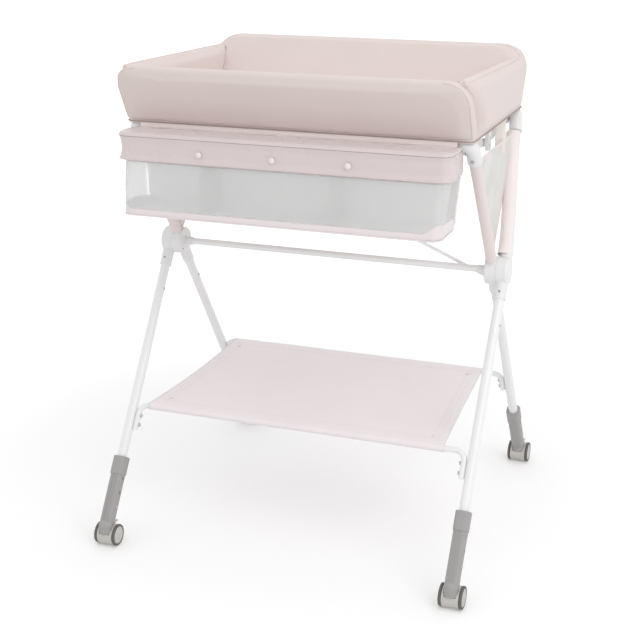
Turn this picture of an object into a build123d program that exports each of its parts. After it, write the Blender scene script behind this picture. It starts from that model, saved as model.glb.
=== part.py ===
from build123d import *

import os
from math import cos, radians, sin, sqrt

# A folding changing table: two crossed leg frames that turn on one hub axis.
# Millimetres. X runs across, Y from the front (-) to the back (+), Z up.
# Everything is built round the hub axis at y = 0 and moved by HUB_Y at the end,
# which puts the middle of the whole table over the origin, with the floor at z = 0.

# Heights and planes of the frames
HUB_Z = 570.0            # pivot axis of the two frames
RAIL_Z = 857.0           # centre line of both top rails
FRONT_LEAN = 33.6        # front legs and rear upper tubes, from the vertical
REAR_LEAN = 33.0         # rear legs and front upper tubes
OUTER_X = 369.0          # plane of the front legs
INNER_X = 346.0          # plane of the rear legs
REAR_ELBOW_X = 340.0
FRONT_ELBOW_X = 341.5
PARTING_X = 357.25       # between the outer and the inner hub halves
PARTING_GAP = 0.3

# Tubes
TUBE_R = 10.0
TUBE_BORE_R = 8.6
NECK_R = 8.55            # necked end of a stub, inside the leg
NECK_BORE_R = 7.2
RUNNING_GAP = 0.05
ARM_R = 12.5             # plastic arm round a tube
LOWER_ARM_S = 60.0       # distances s are measured along a tube from the hub axis
UPPER_ARM_S = 48.0
STUB_S = 26.0
JOINT_S = 102.0          # where the removable leg starts
NECK_END_S = 135.0
JOINT_BUTTON_S = 113.0
LEG_END_S = 600.0
BEND_S = 60.0            # where an upper tube starts to lean inwards
BEND_R = 120.0

# Hub
HUB_R = 28.5
HUB_OUTER_X = 381.0
HUB_INNER_X = 333.0
COLLAR_R = 8.5
COLLAR_X = 316.0
CROSSBAR_R = 7.0
CROSSBAR_END_X = 344.0
PIVOT_R = 4.0
HEAD_POCKET_R = 9.0
HEAD_POCKET_X = 372.0
CAP_R = 22.0
CAP_SEAT_X = 378.5

# Elbows at the top corners
ELBOW_R = 13.5
ELBOW_START_S = 300.0
ELBOW_BEND_R = 16.0
ELBOW_LENGTH = 28.0
TUBE_STOP = 14.0         # a tube ends this far before the corner
SCREW_R = 3.6
SPOT_DEPTH = 0.6

# Fold stays
STAY_THICK = 3.0
STAY_WIDTH = 16.0
REAR_STAY_X = 319.5      # inner face of the rear half
FRONT_STAY_X = 316.0
LUG_X = 323.0
LUG_THICK = 4.0
STAY_PIN_R = 3.0
RIVET_HEAD_R = 5.5
RIVET_HEAD = 0.8         # the outer heads are flat, beside the elbow's bend
STAY_DY = 17.0           # pivot from the rail's centre
STAY_DZ = -15.0
KNUCKLE_Z = 826.0
LATCH_WIDTH = 20.0
LATCH_HEIGHT = 38.0
LATCH_THICK = 8.0

# Shelf
FRONT_BAR_Z = 262.0
REAR_BAR_Z = 275.0
BAR_R = 6.0
BAR_LEG_GAP = 0.2
BAR_BEND_R = 20.0
BAR_TAIL = 54.0
BAR_BOLTS = (24.0, 44.0)
BOLT_HEAD_R = 4.2
SHEET_THICK = 2.4
HEM_R = 8.0
SHEET_FRONT_X = (-331.0, 310.0)
SHEET_REAR_X = (-308.0, 290.0)

# Leg extensions
EXT_TOP_S = 485.0
EXT_COLLAR_S = 523.0
EXT_WIDTH = 27.0
EXT_COLLAR_WIDTH = 30.0
EXT_CORNER_R = 9.0
EXT_CUT_Z = 47.5         # the leaning body ends here, over the caster
RIB_X = 4.5
RIB_WIDTH = 2.4
BOSS_R = 14.5
BOSS_Z = 30.0
BOSS_RIM = 3.0
BOSS_DOME = 14.0
HOLE_PITCH = 30.0
HEIGHT_BUTTON_S = 590.0
HOLE_R = 3.4
BUTTON_R = 3.2

# Casters
WHEEL_R = 22.5
WHEEL_IN_X = 17.5
WHEEL_OUT_X = 23.3
TYRE_DEPTH = 4.5
AXLE_R = 3.0
TRAIL = 11.0
SWIVEL_INSET = 4.8
HOOD_R = 22.2
HOOD_HALF = 17.0
HOOD_FLOOR = 3.5
HEEL_DY = 7.0            # behind this the hood's lower part is open
HEEL_TOP = 17.5
STEM_SEAT_Z = 15.5
RECESS_R = 15.0
RECESS_Z = 29.5
STEM_R = 4.0
LEVER_HALF = 9.0
LEVER_PIN_DY = 10.0
LEVER_PIN_Z = 35.0
LEVER_PIN_R = 1.5
LEVER_PIN_HALF = 14.0
LEVER_SLOT_DY = 5.2
LEVER_EYE_R = 3.6
LEVER_END = 25.5
LEVER_OUTLINE = [         # distance behind the axle, and height
    (8.0, 37.0),
    (11.0, 45.4),
    (13.5, 46.2),
    (24.6, 44.2),
    (LEVER_END, 42.8),
    (24.3, 41.4),
    (14.8, 42.4),
    (13.2, 34.5),
]

# Pad: a padded floor in four flared walls
PAD_Z = 871.2
PAD_FLOOR = 26.0
WALL_Z = 981.0
REAR_WALL_Z = 996.0
PAD_HALF_X = 342.0
PAD_TOP_HALF_X = 339.0
FRONT_FOOT_Y = -203.0
FRONT_TOP_Y = -258.0
REAR_FOOT_Y = 198.0
REAR_TOP_Y = 256.0
WALL_FOOT = 34.0
WALL_TOP = 24.0
WALL_ROLL = 8.0          # roll along a wall's top edge
WALL_CORNER_R = 44.0
END_BULGE = (2.0, 60.0)  # how far an end wall stands out, and how high up

# Organiser basket under the front rail
BASKET_HALF = 326.0
BASKET_FRONT_Y = -279.0
BASKET_BACK_Y = -182.0
BASKET_Z = 699.0
BASKET_TOP_Z = 848.0
BASKET_BACK_TOP_Z = 842.0
RAIL_FRONT_Y = -203.0
BASKET_WALL = 2.4
BASKET_CORNER_R = 12.0
WINDOW_LOW_Z = 710.0
WINDOW_HIGH_Z = 806.0
WINDOW_THICK = 1.2
DIVIDER_X = (-162.0, 97.0)
DIVIDER_THICK = 1.6
LID_TOP_Z = 857.0
LID_DROP_Z = 816.0
LID_THICK = 2.4
LID_GAP = 0.5
LID_HINGE_Y = -202.0
LID_RETURN_Y = -248.0
SNAP_X = (-160.0, -12.0, 137.0)
SNAP_Z = 824.0
SNAP_R = 6.0

# Fabric sleeves and side panels
SLEEVE_BORE_R = 10.1
REAR_SLEEVE_R = 13.0
FRONT_SLEEVE_R = 12.3
FRONT_SLEEVE_HUB_R = 11.1
RAIL_SLEEVE_R = 13.0
RAIL_SLEEVE_HALF = 312.0
MESH_X = 343.0
MESH_THICK = 1.2
MESH_TOP_Z = 818.0
MESH_EDGE_GAP = 13.4
STRAP_Y = (44.0, 66.0)

# Brace rod
BRACE_R = 3.5
BRACE_LOW = (INNER_X, -50.0)
BRACE_HIGH_X = -220.0
LUG_R = 7.0
FLAT_THICK = 2.5
FLAT_TAPER = 18.0
EYE_GAP = 0.2
BRACE_HEAD_R = 4.5
BRACE_HEAD = 2.2
BRACE_HEAD_GAP = 0.8     # clears the rod's swelling beside the eye

FAR = 500.0              # reach of a cutting shape past the body it trims


class LegFrame:
    """One of the two crossed frames: its lean, its planes and points along its tubes."""

    def __init__(self, lean, foot, leg_x, elbow_x):
        self.sin = sin(radians(lean))
        self.cos = cos(radians(lean))
        self.foot = foot
        self.leg_x = leg_x
        self.elbow_x = elbow_x
        self.top_s = (RAIL_Z - HUB_Z) / self.cos
        self.rail_y = -foot * self.top_s * self.sin

    def down(self, s, x=None):
        """Point at the distance s from the hub along the leg."""
        x = self.leg_x if x is None else x
        return Vector(x, self.foot * s * self.sin, HUB_Z - s * self.cos)

    def up(self, s):
        """Point at the distance s from the hub along the upper tube."""
        run = max(0.0, s - BEND_S) / (self.top_s - BEND_S)
        x = self.leg_x + (self.elbow_x - self.leg_x) * run
        return Vector(x, -self.foot * s * self.sin, HUB_Z + s * self.cos)

    def leg_plane(self, s, x=None):
        """Plane square to the leg, its normal pointing down the leg."""
        return Plane(self.down(s, x), x_dir=(1, 0, 0), z_dir=(0, self.foot * self.sin, -self.cos))

    def leg_y(self, z):
        """Where the leg's centre line is at the height z."""
        return self.foot * (HUB_Z - z) * self.sin / self.cos

    def s_at(self, z):
        """Distance along the leg of the height z."""
        return (HUB_Z - z) / self.cos

    def behind(self, x, v, w):
        """Point in the frame's plane, v up from the hub and w behind the plane."""
        up_y = -self.foot * self.sin
        return Vector(x, v * up_y + w * self.cos, HUB_Z + v * self.cos - w * up_y)


FRONT = LegFrame(FRONT_LEAN, -1, OUTER_X, REAR_ELBOW_X)
REAR = LegFrame(REAR_LEAN, 1, INNER_X, FRONT_ELBOW_X)
SIDES = (("left", -1), ("right", 1))


def swivel_y(frame):
    """Swivel axis of a caster."""
    return frame.leg_y(33.0) - frame.foot * SWIVEL_INSET


def wheel_y(frame):
    """Wheel axis of a caster, which trails to the back."""
    return swivel_y(frame) + TRAIL


# The bosses of the front feet and the brake levers of the rear feet are the two ends
FRONT_END_Y = swivel_y(FRONT) - BOSS_R
BACK_END_Y = wheel_y(REAR) + LEVER_END
HUB_Y = -(FRONT_END_Y + BACK_END_Y) / 2


def rod(start, end, radius, bore=0.0):
    """Round bar or tube between two points."""
    start, end = Vector(start), Vector(end)
    section = Circle(radius)
    if bore:
        section -= Circle(bore)
    return extrude(Plane(start, z_dir=end - start) * section, (end - start).length)


def x_rod(x0, x1, y, z, radius, bore=0.0):
    """Round bar along X."""
    return rod((x0, y, z), (x1, y, z), radius, bore)


def block(x, y, z):
    """Box from three (low, high) pairs."""
    size = [high - low for low, high in (x, y, z)]
    middle = [(high + low) / 2 for low, high in (x, y, z)]
    return Pos(*middle) * Box(*size)


def side_plate(points, x0, x1):
    """Plate with an outline in Y and Z, between two X planes."""
    outline = Polyline([(y, z) for y, z in points], close=True)
    return extrude(Plane(origin=(x0, 0, 0), x_dir=(0, 1, 0), z_dir=(1, 0, 0)) * make_face(outline), x1 - x0)


def side_disc(x0, x1, y, z, radius):
    return x_rod(x0, x1, y, z, radius)


def mirrored(shape):
    return mirror(shape, about=Plane.YZ)


def both(shape):
    """A right-hand piece and its left-hand twin."""
    return [shape, mirrored(shape)]


def path_tube(points, radii, radius, bore=0.0):
    """Bent tube along straight runs joined by arcs."""
    path = FilletPolyline(*points, radius=radii)
    section = Circle(radius)
    if bore:
        section -= Circle(bore)
    return sweep(Plane(path @ 0, z_dir=path % 0) * section, path=path)


# Hub ------------------------------------------------------------------------------------


def hub_arms(frame):
    """Arms round the lower stub and the upper tube."""
    centre = Vector(frame.leg_x, 0, HUB_Z)
    upper = UPPER_ARM_S if frame is FRONT else HUB_R + 2
    return rod(centre, frame.down(LOWER_ARM_S), ARM_R) + rod(centre, frame.up(upper), ARM_R)


def hub_sockets(frame):
    """Bores for the stub and the upper tube."""
    lower = rod(frame.down(STUB_S), frame.down(LOWER_ARM_S + 5), TUBE_R + RUNNING_GAP)
    upper = rod(frame.up(STUB_S - 2), frame.up(UPPER_ARM_S + 5), TUBE_R + RUNNING_GAP)
    return lower + upper


def hub_outer():
    """Outer housing: a drum with a rounded end, two arms and the bolt's pocket."""
    face_x = PARTING_X + PARTING_GAP / 2
    drum = x_rod(face_x, HUB_OUTER_X, 0, HUB_Z, HUB_R)
    drum = fillet(drum.edges().sort_by(Axis.X)[-1], 5.0)
    body = drum + hub_arms(FRONT)
    body -= block((face_x - FAR, face_x), (-FAR, FAR), (HUB_Z - FAR, HUB_Z + FAR))
    body -= hub_sockets(FRONT)
    body -= x_rod(face_x - 1, HUB_OUTER_X, 0, HUB_Z, PIVOT_R + RUNNING_GAP)
    body -= x_rod(HEAD_POCKET_X, HUB_OUTER_X, 0, HUB_Z, HEAD_POCKET_R)
    body -= x_rod(CAP_SEAT_X, HUB_OUTER_X + 1, 0, HUB_Z, CAP_R + RUNNING_GAP)
    return body


def hub_inner():
    """Inner housing: a drum, the rear leg's arm and the crossbar's collar."""
    face_x = PARTING_X - PARTING_GAP / 2
    drum = x_rod(HUB_INNER_X, face_x, 0, HUB_Z, HUB_R)
    drum = fillet(drum.edges().sort_by(Axis.X)[0], 4.0)
    collar = x_rod(COLLAR_X, HUB_INNER_X + 1, 0, HUB_Z, COLLAR_R)
    body = drum + hub_arms(REAR) + collar
    body -= block((face_x, face_x + FAR), (-FAR, FAR), (HUB_Z - FAR, HUB_Z + FAR))
    body -= hub_sockets(REAR)
    body -= x_rod(COLLAR_X - 1, CROSSBAR_END_X, 0, HUB_Z, CROSSBAR_R + RUNNING_GAP)
    body -= x_rod(CROSSBAR_END_X - 1, face_x + 1, 0, HUB_Z, PIVOT_R)
    return body


def hub_cap():
    """Snap-in cap with a rounded rim."""
    cap = x_rod(CAP_SEAT_X, HUB_OUTER_X + 0.6, 0, HUB_Z, CAP_R)
    return fillet(cap.edges().sort_by(Axis.X)[-1], 1.2)


def pivot_bolt():
    """Bolt with a hexagon socket in its head, and a washer."""
    shank = x_rod(CROSSBAR_END_X, HEAD_POCKET_X + 1, 0, HUB_Z, PIVOT_R)
    head = x_rod(HEAD_POCKET_X + 1, HEAD_POCKET_X + 5, 0, HUB_Z, 6.5)
    socket_plane = Plane(origin=(HEAD_POCKET_X + 2.5, 0, HUB_Z), x_dir=(0, 1, 0), z_dir=(1, 0, 0))
    head -= extrude(socket_plane * RegularPolygon(3.0, 6), 4)
    washer = x_rod(HEAD_POCKET_X + 0.02, HEAD_POCKET_X + 1, 0, HUB_Z, 8.6, PIVOT_R + 0.3)
    return [shank + head, washer]


# Tubes ----------------------------------------------------------------------------------


def stub_tube(frame):
    """Short tube in the hub arm, necked down where it enters the leg."""
    body = rod(frame.down(STUB_S), frame.down(JOINT_S), TUBE_R)
    neck = rod(frame.down(JOINT_S), frame.down(NECK_END_S), NECK_R)
    stub = body + neck - rod(frame.down(STUB_S - 1), frame.down(NECK_END_S + 1), NECK_BORE_R)
    return stub


def button_hole(frame, side, s, reach):
    """Round hole through the wall that faces +X."""
    centre = frame.down(s, side * frame.leg_x)
    return rod(centre, centre + Vector(reach, 0, 0), HOLE_R)


def stub_tubes(frame):
    """Both stubs with their button holes, which all face +X."""
    stubs = []
    for _, side in SIDES:
        stub = stub_tube(frame)
        stub = stub if side > 0 else mirrored(stub)
        stubs.append(stub - button_hole(frame, side, JOINT_BUTTON_S, 20))
    return stubs


def leg_tubes(frame):
    """Both removable legs, with holes for the joint button and the height button."""
    legs = []
    for _, side in SIDES:
        x = side * frame.leg_x
        leg = rod(frame.down(JOINT_S, x), frame.down(LEG_END_S, x), TUBE_R, TUBE_BORE_R)
        for s in (JOINT_BUTTON_S, HEIGHT_BUTTON_S):
            leg -= button_hole(frame, side, s, 20)
        legs.append(leg)
    return legs


def snap_button(frame, side, s, wall_r, proud_r, bend):
    """Domed button on a V-shaped leaf spring inside the tube."""
    plane = frame.leg_plane(s, side * frame.leg_x)
    centre = plane.origin
    inner = wall_r - 0.1
    out = Vector(1, 0, 0)
    pin = rod(centre + out * (inner - 0.9), centre + out * proud_r, BUTTON_R)
    pin = fillet(pin.edges().sort_by(Axis.X)[-1], 1.6)
    flange = rod(centre + out * (inner - 2.4), centre + out * inner, BUTTON_R + 0.8)
    leaf_x = inner - 2.4
    outline = Polyline(
        [(leaf_x, -4), (0.3, bend), (-inner, -3), (0.5 - inner, -3), (0.3, bend - 4), (leaf_x - 0.5, -4)],
        close=True,
    )
    leaf_plane = Plane(centre, x_dir=(1, 0, 0), z_dir=plane.y_dir)
    leaf = extrude(leaf_plane * make_face(outline), 3, both=True)
    inside = rod(frame.down(s - 60, centre.X), frame.down(s + 20, centre.X), inner)
    return [pin + (flange & inside), leaf & inside]


def upper_path(frame, start_s, end_s):
    """Upper tube's centre line, straight in the hub and leaning inwards above it."""
    return [frame.up(start_s), frame.up(BEND_S), frame.up(end_s)]


def upper_tube(frame):
    points = upper_path(frame, STUB_S, frame.top_s - TUBE_STOP)
    return path_tube(points, BEND_R, TUBE_R, TUBE_BORE_R)


def top_rail(frame):
    half = frame.elbow_x - TUBE_STOP
    return x_rod(-half, half, frame.rail_y, RAIL_Z, TUBE_R, TUBE_BORE_R)


# Elbows and fold stays ------------------------------------------------------------------


def stay_pivot(frame):
    """Pivot of a stay, inwards of the rail and below it."""
    return frame.rail_y + frame.foot * STAY_DY, RAIL_Z + STAY_DZ


def screw_place(frame):
    """Seat and direction of the screw in the elbow's outer face."""
    out = Vector(0, -frame.foot * frame.cos, -frame.sin)
    return frame.up(ELBOW_START_S + 14) + out * (ELBOW_R - SPOT_DEPTH), out


def stay_lug(frame):
    """Plate that hangs from the elbow and carries the stay's pivot."""
    y, z = stay_pivot(frame)
    x0, x1 = LUG_X, LUG_X + LUG_THICK
    root = side_disc(x0, x1, frame.rail_y, RAIL_Z, ELBOW_R - 0.5)
    eye = side_disc(x0, x1, y, z, STAY_WIDTH / 2)
    away = Vector(0, y - frame.rail_y, z - RAIL_Z).normalized()
    across = Vector(0, -away.Z, away.Y)
    corners = []
    for centre, reach in (((frame.rail_y, RAIL_Z), 11.5), ((y, z), STAY_WIDTH / 2)):
        for sign in (-1, 1):
            corners.append((centre[0] + sign * reach * across.Y, centre[1] + sign * reach * across.Z))
    web = side_plate([corners[0], corners[1], corners[3], corners[2]], x0, x1)
    return root + eye + web - x_rod(x0 - 1, x1 + 1, y, z, STAY_PIN_R + RUNNING_GAP)


def elbow(frame):
    """Corner fitting: two sockets joined by a bend, with the stay's lug."""
    corner = frame.up(frame.top_s)
    end = corner - Vector(ELBOW_LENGTH, 0, 0)
    body = path_tube([frame.up(ELBOW_START_S), corner, end], ELBOW_BEND_R, ELBOW_R)
    body += stay_lug(frame)
    socket_r = TUBE_R + RUNNING_GAP
    body -= rod(frame.up(ELBOW_START_S - 2), frame.up(frame.top_s - TUBE_STOP + 0.5), socket_r)
    stop = frame.elbow_x - TUBE_STOP + 0.5
    body -= x_rod(stop - 40, stop, frame.rail_y, RAIL_Z, socket_r)
    face, out = screw_place(frame)
    return body - rod(face, face + out * 5, SCREW_R + RUNNING_GAP)


def stay_pin(frame):
    """Rivet through the lug and the stay's eye."""
    y, z = stay_pivot(frame)
    inner = REAR_STAY_X if frame is FRONT else FRONT_STAY_X
    outer = LUG_X + LUG_THICK + RUNNING_GAP
    pin = x_rod(inner - 0.3, outer, y, z, STAY_PIN_R)
    pin += x_rod(inner - 2.0, inner - 0.3, y, z, RIVET_HEAD_R)
    pin += x_rod(outer, outer + RIVET_HEAD, y, z, RIVET_HEAD_R)
    if frame is REAR:
        pin += x_rod(FRONT_STAY_X + STAY_THICK + 0.3, LUG_X - RUNNING_GAP, y, z, RIVET_HEAD_R)
    return pin


def knuckle_y():
    return (stay_pivot(FRONT)[0] + stay_pivot(REAR)[0]) / 2


def stay_bar(frame, x0):
    """Flat bar with round eyes, from the elbow's lug to the knuckle."""
    y0, z0 = stay_pivot(frame)
    y1, z1 = knuckle_y(), KNUCKLE_Z
    x1 = x0 + STAY_THICK
    length = sqrt((y1 - y0) ** 2 + (z1 - z0) ** 2)
    across_y = -(z1 - z0) / length * STAY_WIDTH / 2
    across_z = (y1 - y0) / length * STAY_WIDTH / 2
    corners = [
        (y0 + across_y, z0 + across_z),
        (y1 + across_y, z1 + across_z),
        (y1 - across_y, z1 - across_z),
        (y0 - across_y, z0 - across_z),
    ]
    bar = side_plate(corners, x0, x1)
    for y, z in ((y0, z0), (y1, z1)):
        bar += side_disc(x0, x1, y, z, STAY_WIDTH / 2)
    for y, z in ((y0, z0), (y1, z1)):
        bar -= x_rod(x0 - 1, x1 + 1, y, z, STAY_PIN_R + RUNNING_GAP)
    return bar


def latch_housing():
    """Plastic knuckle housing on the rear half, with a grip slot and a finger lip."""
    y, x0 = knuckle_y(), REAR_STAY_X + STAY_THICK + 0.1
    x1 = x0 + LATCH_THICK
    z = KNUCKLE_Z + 4
    width = (y - LATCH_WIDTH / 2, y + LATCH_WIDTH / 2)
    body = block((x0, x1), width, (z - LATCH_HEIGHT / 2, z + LATCH_HEIGHT / 2))
    body = fillet(body.edges().filter_by(Axis.X), 6.0)
    body = fillet(body.faces().sort_by(Axis.X)[-1].edges(), 1.5)
    body -= block((x1 - 3, x1 + 1), (y - 5, y + 5), (z + 3, z + 9))
    body -= block((x1 - 3, x1 + 1), (y - 5, y + 5), (z - 11, z - 5))
    return body


def stay_rear():
    """Rear half with its knuckle pin and the housing."""
    pin = x_rod(REAR_STAY_X + 0.05, REAR_STAY_X + STAY_THICK, knuckle_y(), KNUCKLE_Z, STAY_PIN_R)
    return [stay_bar(FRONT, REAR_STAY_X), pin, latch_housing()]


def stay_front():
    """Front half with the rivet head on its inner side."""
    head = x_rod(FRONT_STAY_X - 1.6, FRONT_STAY_X, knuckle_y(), KNUCKLE_Z, RIVET_HEAD_R)
    return [stay_bar(REAR, FRONT_STAY_X), head]


# Shelf ----------------------------------------------------------------------------------


def bar_x(frame):
    """Centre line of the bar's tail, beside the leg."""
    return frame.leg_x - TUBE_R - BAR_R - BAR_LEG_GAP


def shelf_bar(frame, z):
    """Round bar whose two ends bend down along the legs."""
    s, x = frame.s_at(z), bar_x(frame)
    points = [
        frame.down(s + BAR_TAIL, -x),
        frame.down(s, -x),
        frame.down(s, x),
        frame.down(s + BAR_TAIL, x),
    ]
    bar = path_tube(points, BAR_BEND_R, BAR_R)
    for place in bolt_places(frame, z):
        spot = x_rod(place.X - 4, place.X, place.Y, place.Z, BOLT_HEAD_R + RUNNING_GAP)
        bar = bar - spot - mirrored(spot)
    return bar


def bolt_places(frame, z):
    """Centres of the spot faces on the inner side of the bar's tail."""
    face_x = bar_x(frame) - BAR_R + SPOT_DEPTH
    return [frame.down(frame.s_at(z) + offset, face_x) for offset in BAR_BOLTS]


def bar_bolts(frame, z):
    """Heads of the bolts through the bar's tail into the leg."""
    bolts = []
    for place in bolt_places(frame, z):
        head = x_rod(place.X - 3.2, place.X, place.Y, place.Z, BOLT_HEAD_R)
        head = fillet(head.edges().sort_by(Axis.X)[0], 1.2)
        bolts.extend(both(head))
    return bolts


def shelf_sheet():
    """Fabric sheet with a hem round each bar, narrower at the back."""
    y0, y1 = FRONT.leg_y(FRONT_BAR_Z), REAR.leg_y(REAR_BAR_Z)
    x0, x1 = SHEET_FRONT_X
    rings = x_rod(x0, x1, y0, FRONT_BAR_Z, HEM_R) + x_rod(x0, x1, y1, REAR_BAR_Z, HEM_R)
    half = SHEET_THICK / 2
    rise = HEM_R - half - 0.2
    skin = side_plate(
        [
            (y0, FRONT_BAR_Z + rise + half),
            (y1, REAR_BAR_Z + rise + half),
            (y1, REAR_BAR_Z + rise - half),
            (y0, FRONT_BAR_Z + rise - half),
        ],
        x0,
        x1,
    )
    sheet = rings + skin
    sheet -= x_rod(x0 - 1, x1 + 1, y0, FRONT_BAR_Z, BAR_R + 0.3)
    sheet -= x_rod(x0 - 1, x1 + 1, y1, REAR_BAR_Z, BAR_R + 0.3)
    plan = Polyline(
        [
            (SHEET_FRONT_X[0], y0 - HEM_R - 1),
            (SHEET_FRONT_X[1], y0 - HEM_R - 1),
            (SHEET_REAR_X[1], y1 + HEM_R + 1),
            (SHEET_REAR_X[0], y1 + HEM_R + 1),
        ],
        close=True,
    )
    trim = extrude(Pos(0, 0, FRONT_BAR_Z - FAR) * make_face(plan), 2 * FAR)
    return sheet & trim


# Feet -----------------------------------------------------------------------------------


def leg_extension(frame, side):
    """Moulded sleeve on the leg's end, with a collar, ribs, holes and a swivel boss."""
    x = side * frame.leg_x
    collar_plane = frame.leg_plane(EXT_TOP_S, x)
    collar_face = RectangleRounded(EXT_COLLAR_WIDTH, EXT_COLLAR_WIDTH, EXT_CORNER_R + 1)
    collar = extrude(collar_plane * collar_face, EXT_COLLAR_S - EXT_TOP_S)
    collar = chamfer(collar.faces().sort_by(Axis.Z)[-1].edges(), 1.0)
    body_plane = frame.leg_plane(EXT_COLLAR_S - 2, x)
    body_length = frame.s_at(BOSS_Z) - EXT_COLLAR_S
    body = extrude(body_plane * RectangleRounded(EXT_WIDTH, EXT_WIDTH, EXT_CORNER_R), body_length)
    for rib_x in (-RIB_X, RIB_X):
        rib_face = Pos(rib_x, -frame.foot * EXT_WIDTH / 2) * Rectangle(RIB_WIDTH, RIB_WIDTH)
        body += extrude(body_plane * rib_face, body_length)
    body -= block((x - FAR, x + FAR), (-FAR, FAR), (0, EXT_CUT_Z))
    shape = collar + body + swivel_boss(frame, x)
    bore = rod(frame.down(EXT_TOP_S - 5, x), frame.down(LEG_END_S + 2, x), TUBE_R + RUNNING_GAP)
    shape -= bore
    for step in range(3):
        shape -= button_hole(frame, side, HEIGHT_BUTTON_S - step * HOLE_PITCH, 30)
    y = swivel_y(frame)
    return shape - rod((x, y, BOSS_Z - 1), (x, y, BOSS_Z + 22), STEM_R + RUNNING_GAP)


def swivel_boss(frame, x):
    """Round foot of the extension, turned about the swivel axis."""
    with BuildSketch(Plane.XZ) as profile:
        with BuildLine():
            Line((0, BOSS_Z), (BOSS_R - BOSS_RIM, BOSS_Z))
            RadiusArc((BOSS_R - BOSS_RIM, BOSS_Z), (BOSS_R, BOSS_Z + BOSS_RIM), -BOSS_RIM)
            Line((BOSS_R, BOSS_Z + BOSS_RIM), (BOSS_R, EXT_CUT_Z))
            Spline((BOSS_R, EXT_CUT_Z), (BOSS_R - 4, EXT_CUT_Z + 9), (0, EXT_CUT_Z + BOSS_DOME))
            Line((0, EXT_CUT_Z + BOSS_DOME), (0, BOSS_Z))
        make_face()
    boss = revolve(profile.sketch, Axis.Z)
    return Pos(x, swivel_y(frame), 0) * boss


def caster_hood(frame, side):
    """Drum between the wheels, with a round recess under the leg and a swivel stem."""
    x, y = side * frame.leg_x, wheel_y(frame)
    drum = x_rod(x - HOOD_HALF, x + HOOD_HALF, y, WHEEL_R, HOOD_R)
    drum = fillet(drum.edges().filter_by(GeomType.CIRCLE), 1.2)
    drum -= block((x - FAR, x + FAR), (y - FAR, y + FAR), (-FAR, HOOD_FLOOR))
    drum -= block((x - FAR, x + FAR), (y + HEEL_DY, y + FAR), (-FAR, HEEL_TOP))
    pivot_y = swivel_y(frame)
    drum -= rod((x, pivot_y, RECESS_Z), (x, pivot_y, FAR), RECESS_R)
    drum -= rod((x, pivot_y, STEM_SEAT_Z), (x, pivot_y, FAR), STEM_R)
    drum -= x_rod(x - FAR, x + FAR, y, WHEEL_R, AXLE_R + RUNNING_GAP)
    slot = LEVER_HALF + 0.4
    drum -= block((x - slot, x + slot), (y + LEVER_SLOT_DY, y + FAR), (RECESS_Z, FAR))
    pin = x_rod(x - LEVER_PIN_HALF, x + LEVER_PIN_HALF, y + LEVER_PIN_DY, LEVER_PIN_Z, LEVER_PIN_R)
    stem = rod((x, pivot_y, STEM_SEAT_Z), (x, pivot_y, BOSS_Z + 20), STEM_R)
    return [drum - pin, stem, pin]


def wheel_pair(frame, side):
    """Two discs with tyres on one axle."""
    x, y = side * frame.leg_x, wheel_y(frame)
    solids = [x_rod(x - WHEEL_IN_X, x + WHEEL_IN_X, y, WHEEL_R, AXLE_R)]
    for sign in (-1, 1):
        near, far = x + sign * WHEEL_IN_X, x + sign * WHEEL_OUT_X
        low, high = min(near, far), max(near, far)
        tyre = x_rod(low, high, y, WHEEL_R, WHEEL_R)
        tyre = fillet(tyre.edges().filter_by(GeomType.CIRCLE), 1.2)
        tyre -= x_rod(low - 1, high + 1, y, WHEEL_R, WHEEL_R - TYRE_DEPTH)
        disc = x_rod(low, high, y, WHEEL_R, WHEEL_R - TYRE_DEPTH)
        edge = disc.edges().filter_by(GeomType.CIRCLE).sort_by(Axis.X)[-1 if sign > 0 else 0]
        disc = fillet(edge, 1.5)
        solids.extend([tyre, disc])
    return solids


def brake_lever(frame, side):
    """Foot lever on the pin behind the recess."""
    x, y = side * frame.leg_x, wheel_y(frame)
    low, high = x - LEVER_HALF, x + LEVER_HALF
    lever = side_plate([(y + dy, z) for dy, z in LEVER_OUTLINE], low, high)
    lever += side_disc(low, high, y + LEVER_PIN_DY, LEVER_PIN_Z, LEVER_EYE_R)
    return lever - x_rod(low - 1, high + 1, y + LEVER_PIN_DY, LEVER_PIN_Z, LEVER_PIN_R + RUNNING_GAP)


# Brace ----------------------------------------------------------------------------------


def brace_rod():
    """Thin rod behind the rear leg frame, flattened and drilled at both ends."""
    low_w = ARM_R + EYE_GAP + FLAT_THICK / 2
    high_w = TUBE_R + EYE_GAP + FLAT_THICK / 2
    low = REAR.behind(BRACE_LOW[0], BRACE_LOW[1], low_w)
    high = REAR.behind(BRACE_HIGH_X, REAR.top_s, high_w)
    normal = REAR.behind(0, 0, 1) - REAR.behind(0, 0, 0)
    along = (high - low).normalized()
    start, end = low + along * FLAT_TAPER, high - along * FLAT_TAPER
    shape = rod(start, end, BRACE_R)
    for tip, root, direction in ((low, start, -along), (high, end, along)):
        flat_plane = Plane(tip, x_dir=along.cross(normal), z_dir=direction)
        round_plane = Plane(root, x_dir=along.cross(normal), z_dir=direction)
        flat = flat_plane * Ellipse(LUG_R - 1.5, FLAT_THICK / 2)
        shape += loft([round_plane * Circle(BRACE_R), flat])
        eye_plane = Plane(tip - normal * (FLAT_THICK / 2), z_dir=normal)
        shape += extrude(eye_plane * Circle(LUG_R), FLAT_THICK)
    return shape


def brace_screws():
    """Dome heads over the brace's two eyes."""
    normal = REAR.behind(0, 0, 1) - REAR.behind(0, 0, 0)
    lift = 2 * EYE_GAP + FLAT_THICK + BRACE_HEAD_GAP
    places = [
        REAR.behind(BRACE_LOW[0], BRACE_LOW[1], ARM_R + lift),
        REAR.behind(BRACE_HIGH_X, REAR.top_s, TUBE_R + lift),
    ]
    return [rod(place, place + normal * BRACE_HEAD, BRACE_HEAD_R) for place in places]


# Fabric sleeves and side panels ---------------------------------------------------------


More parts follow.
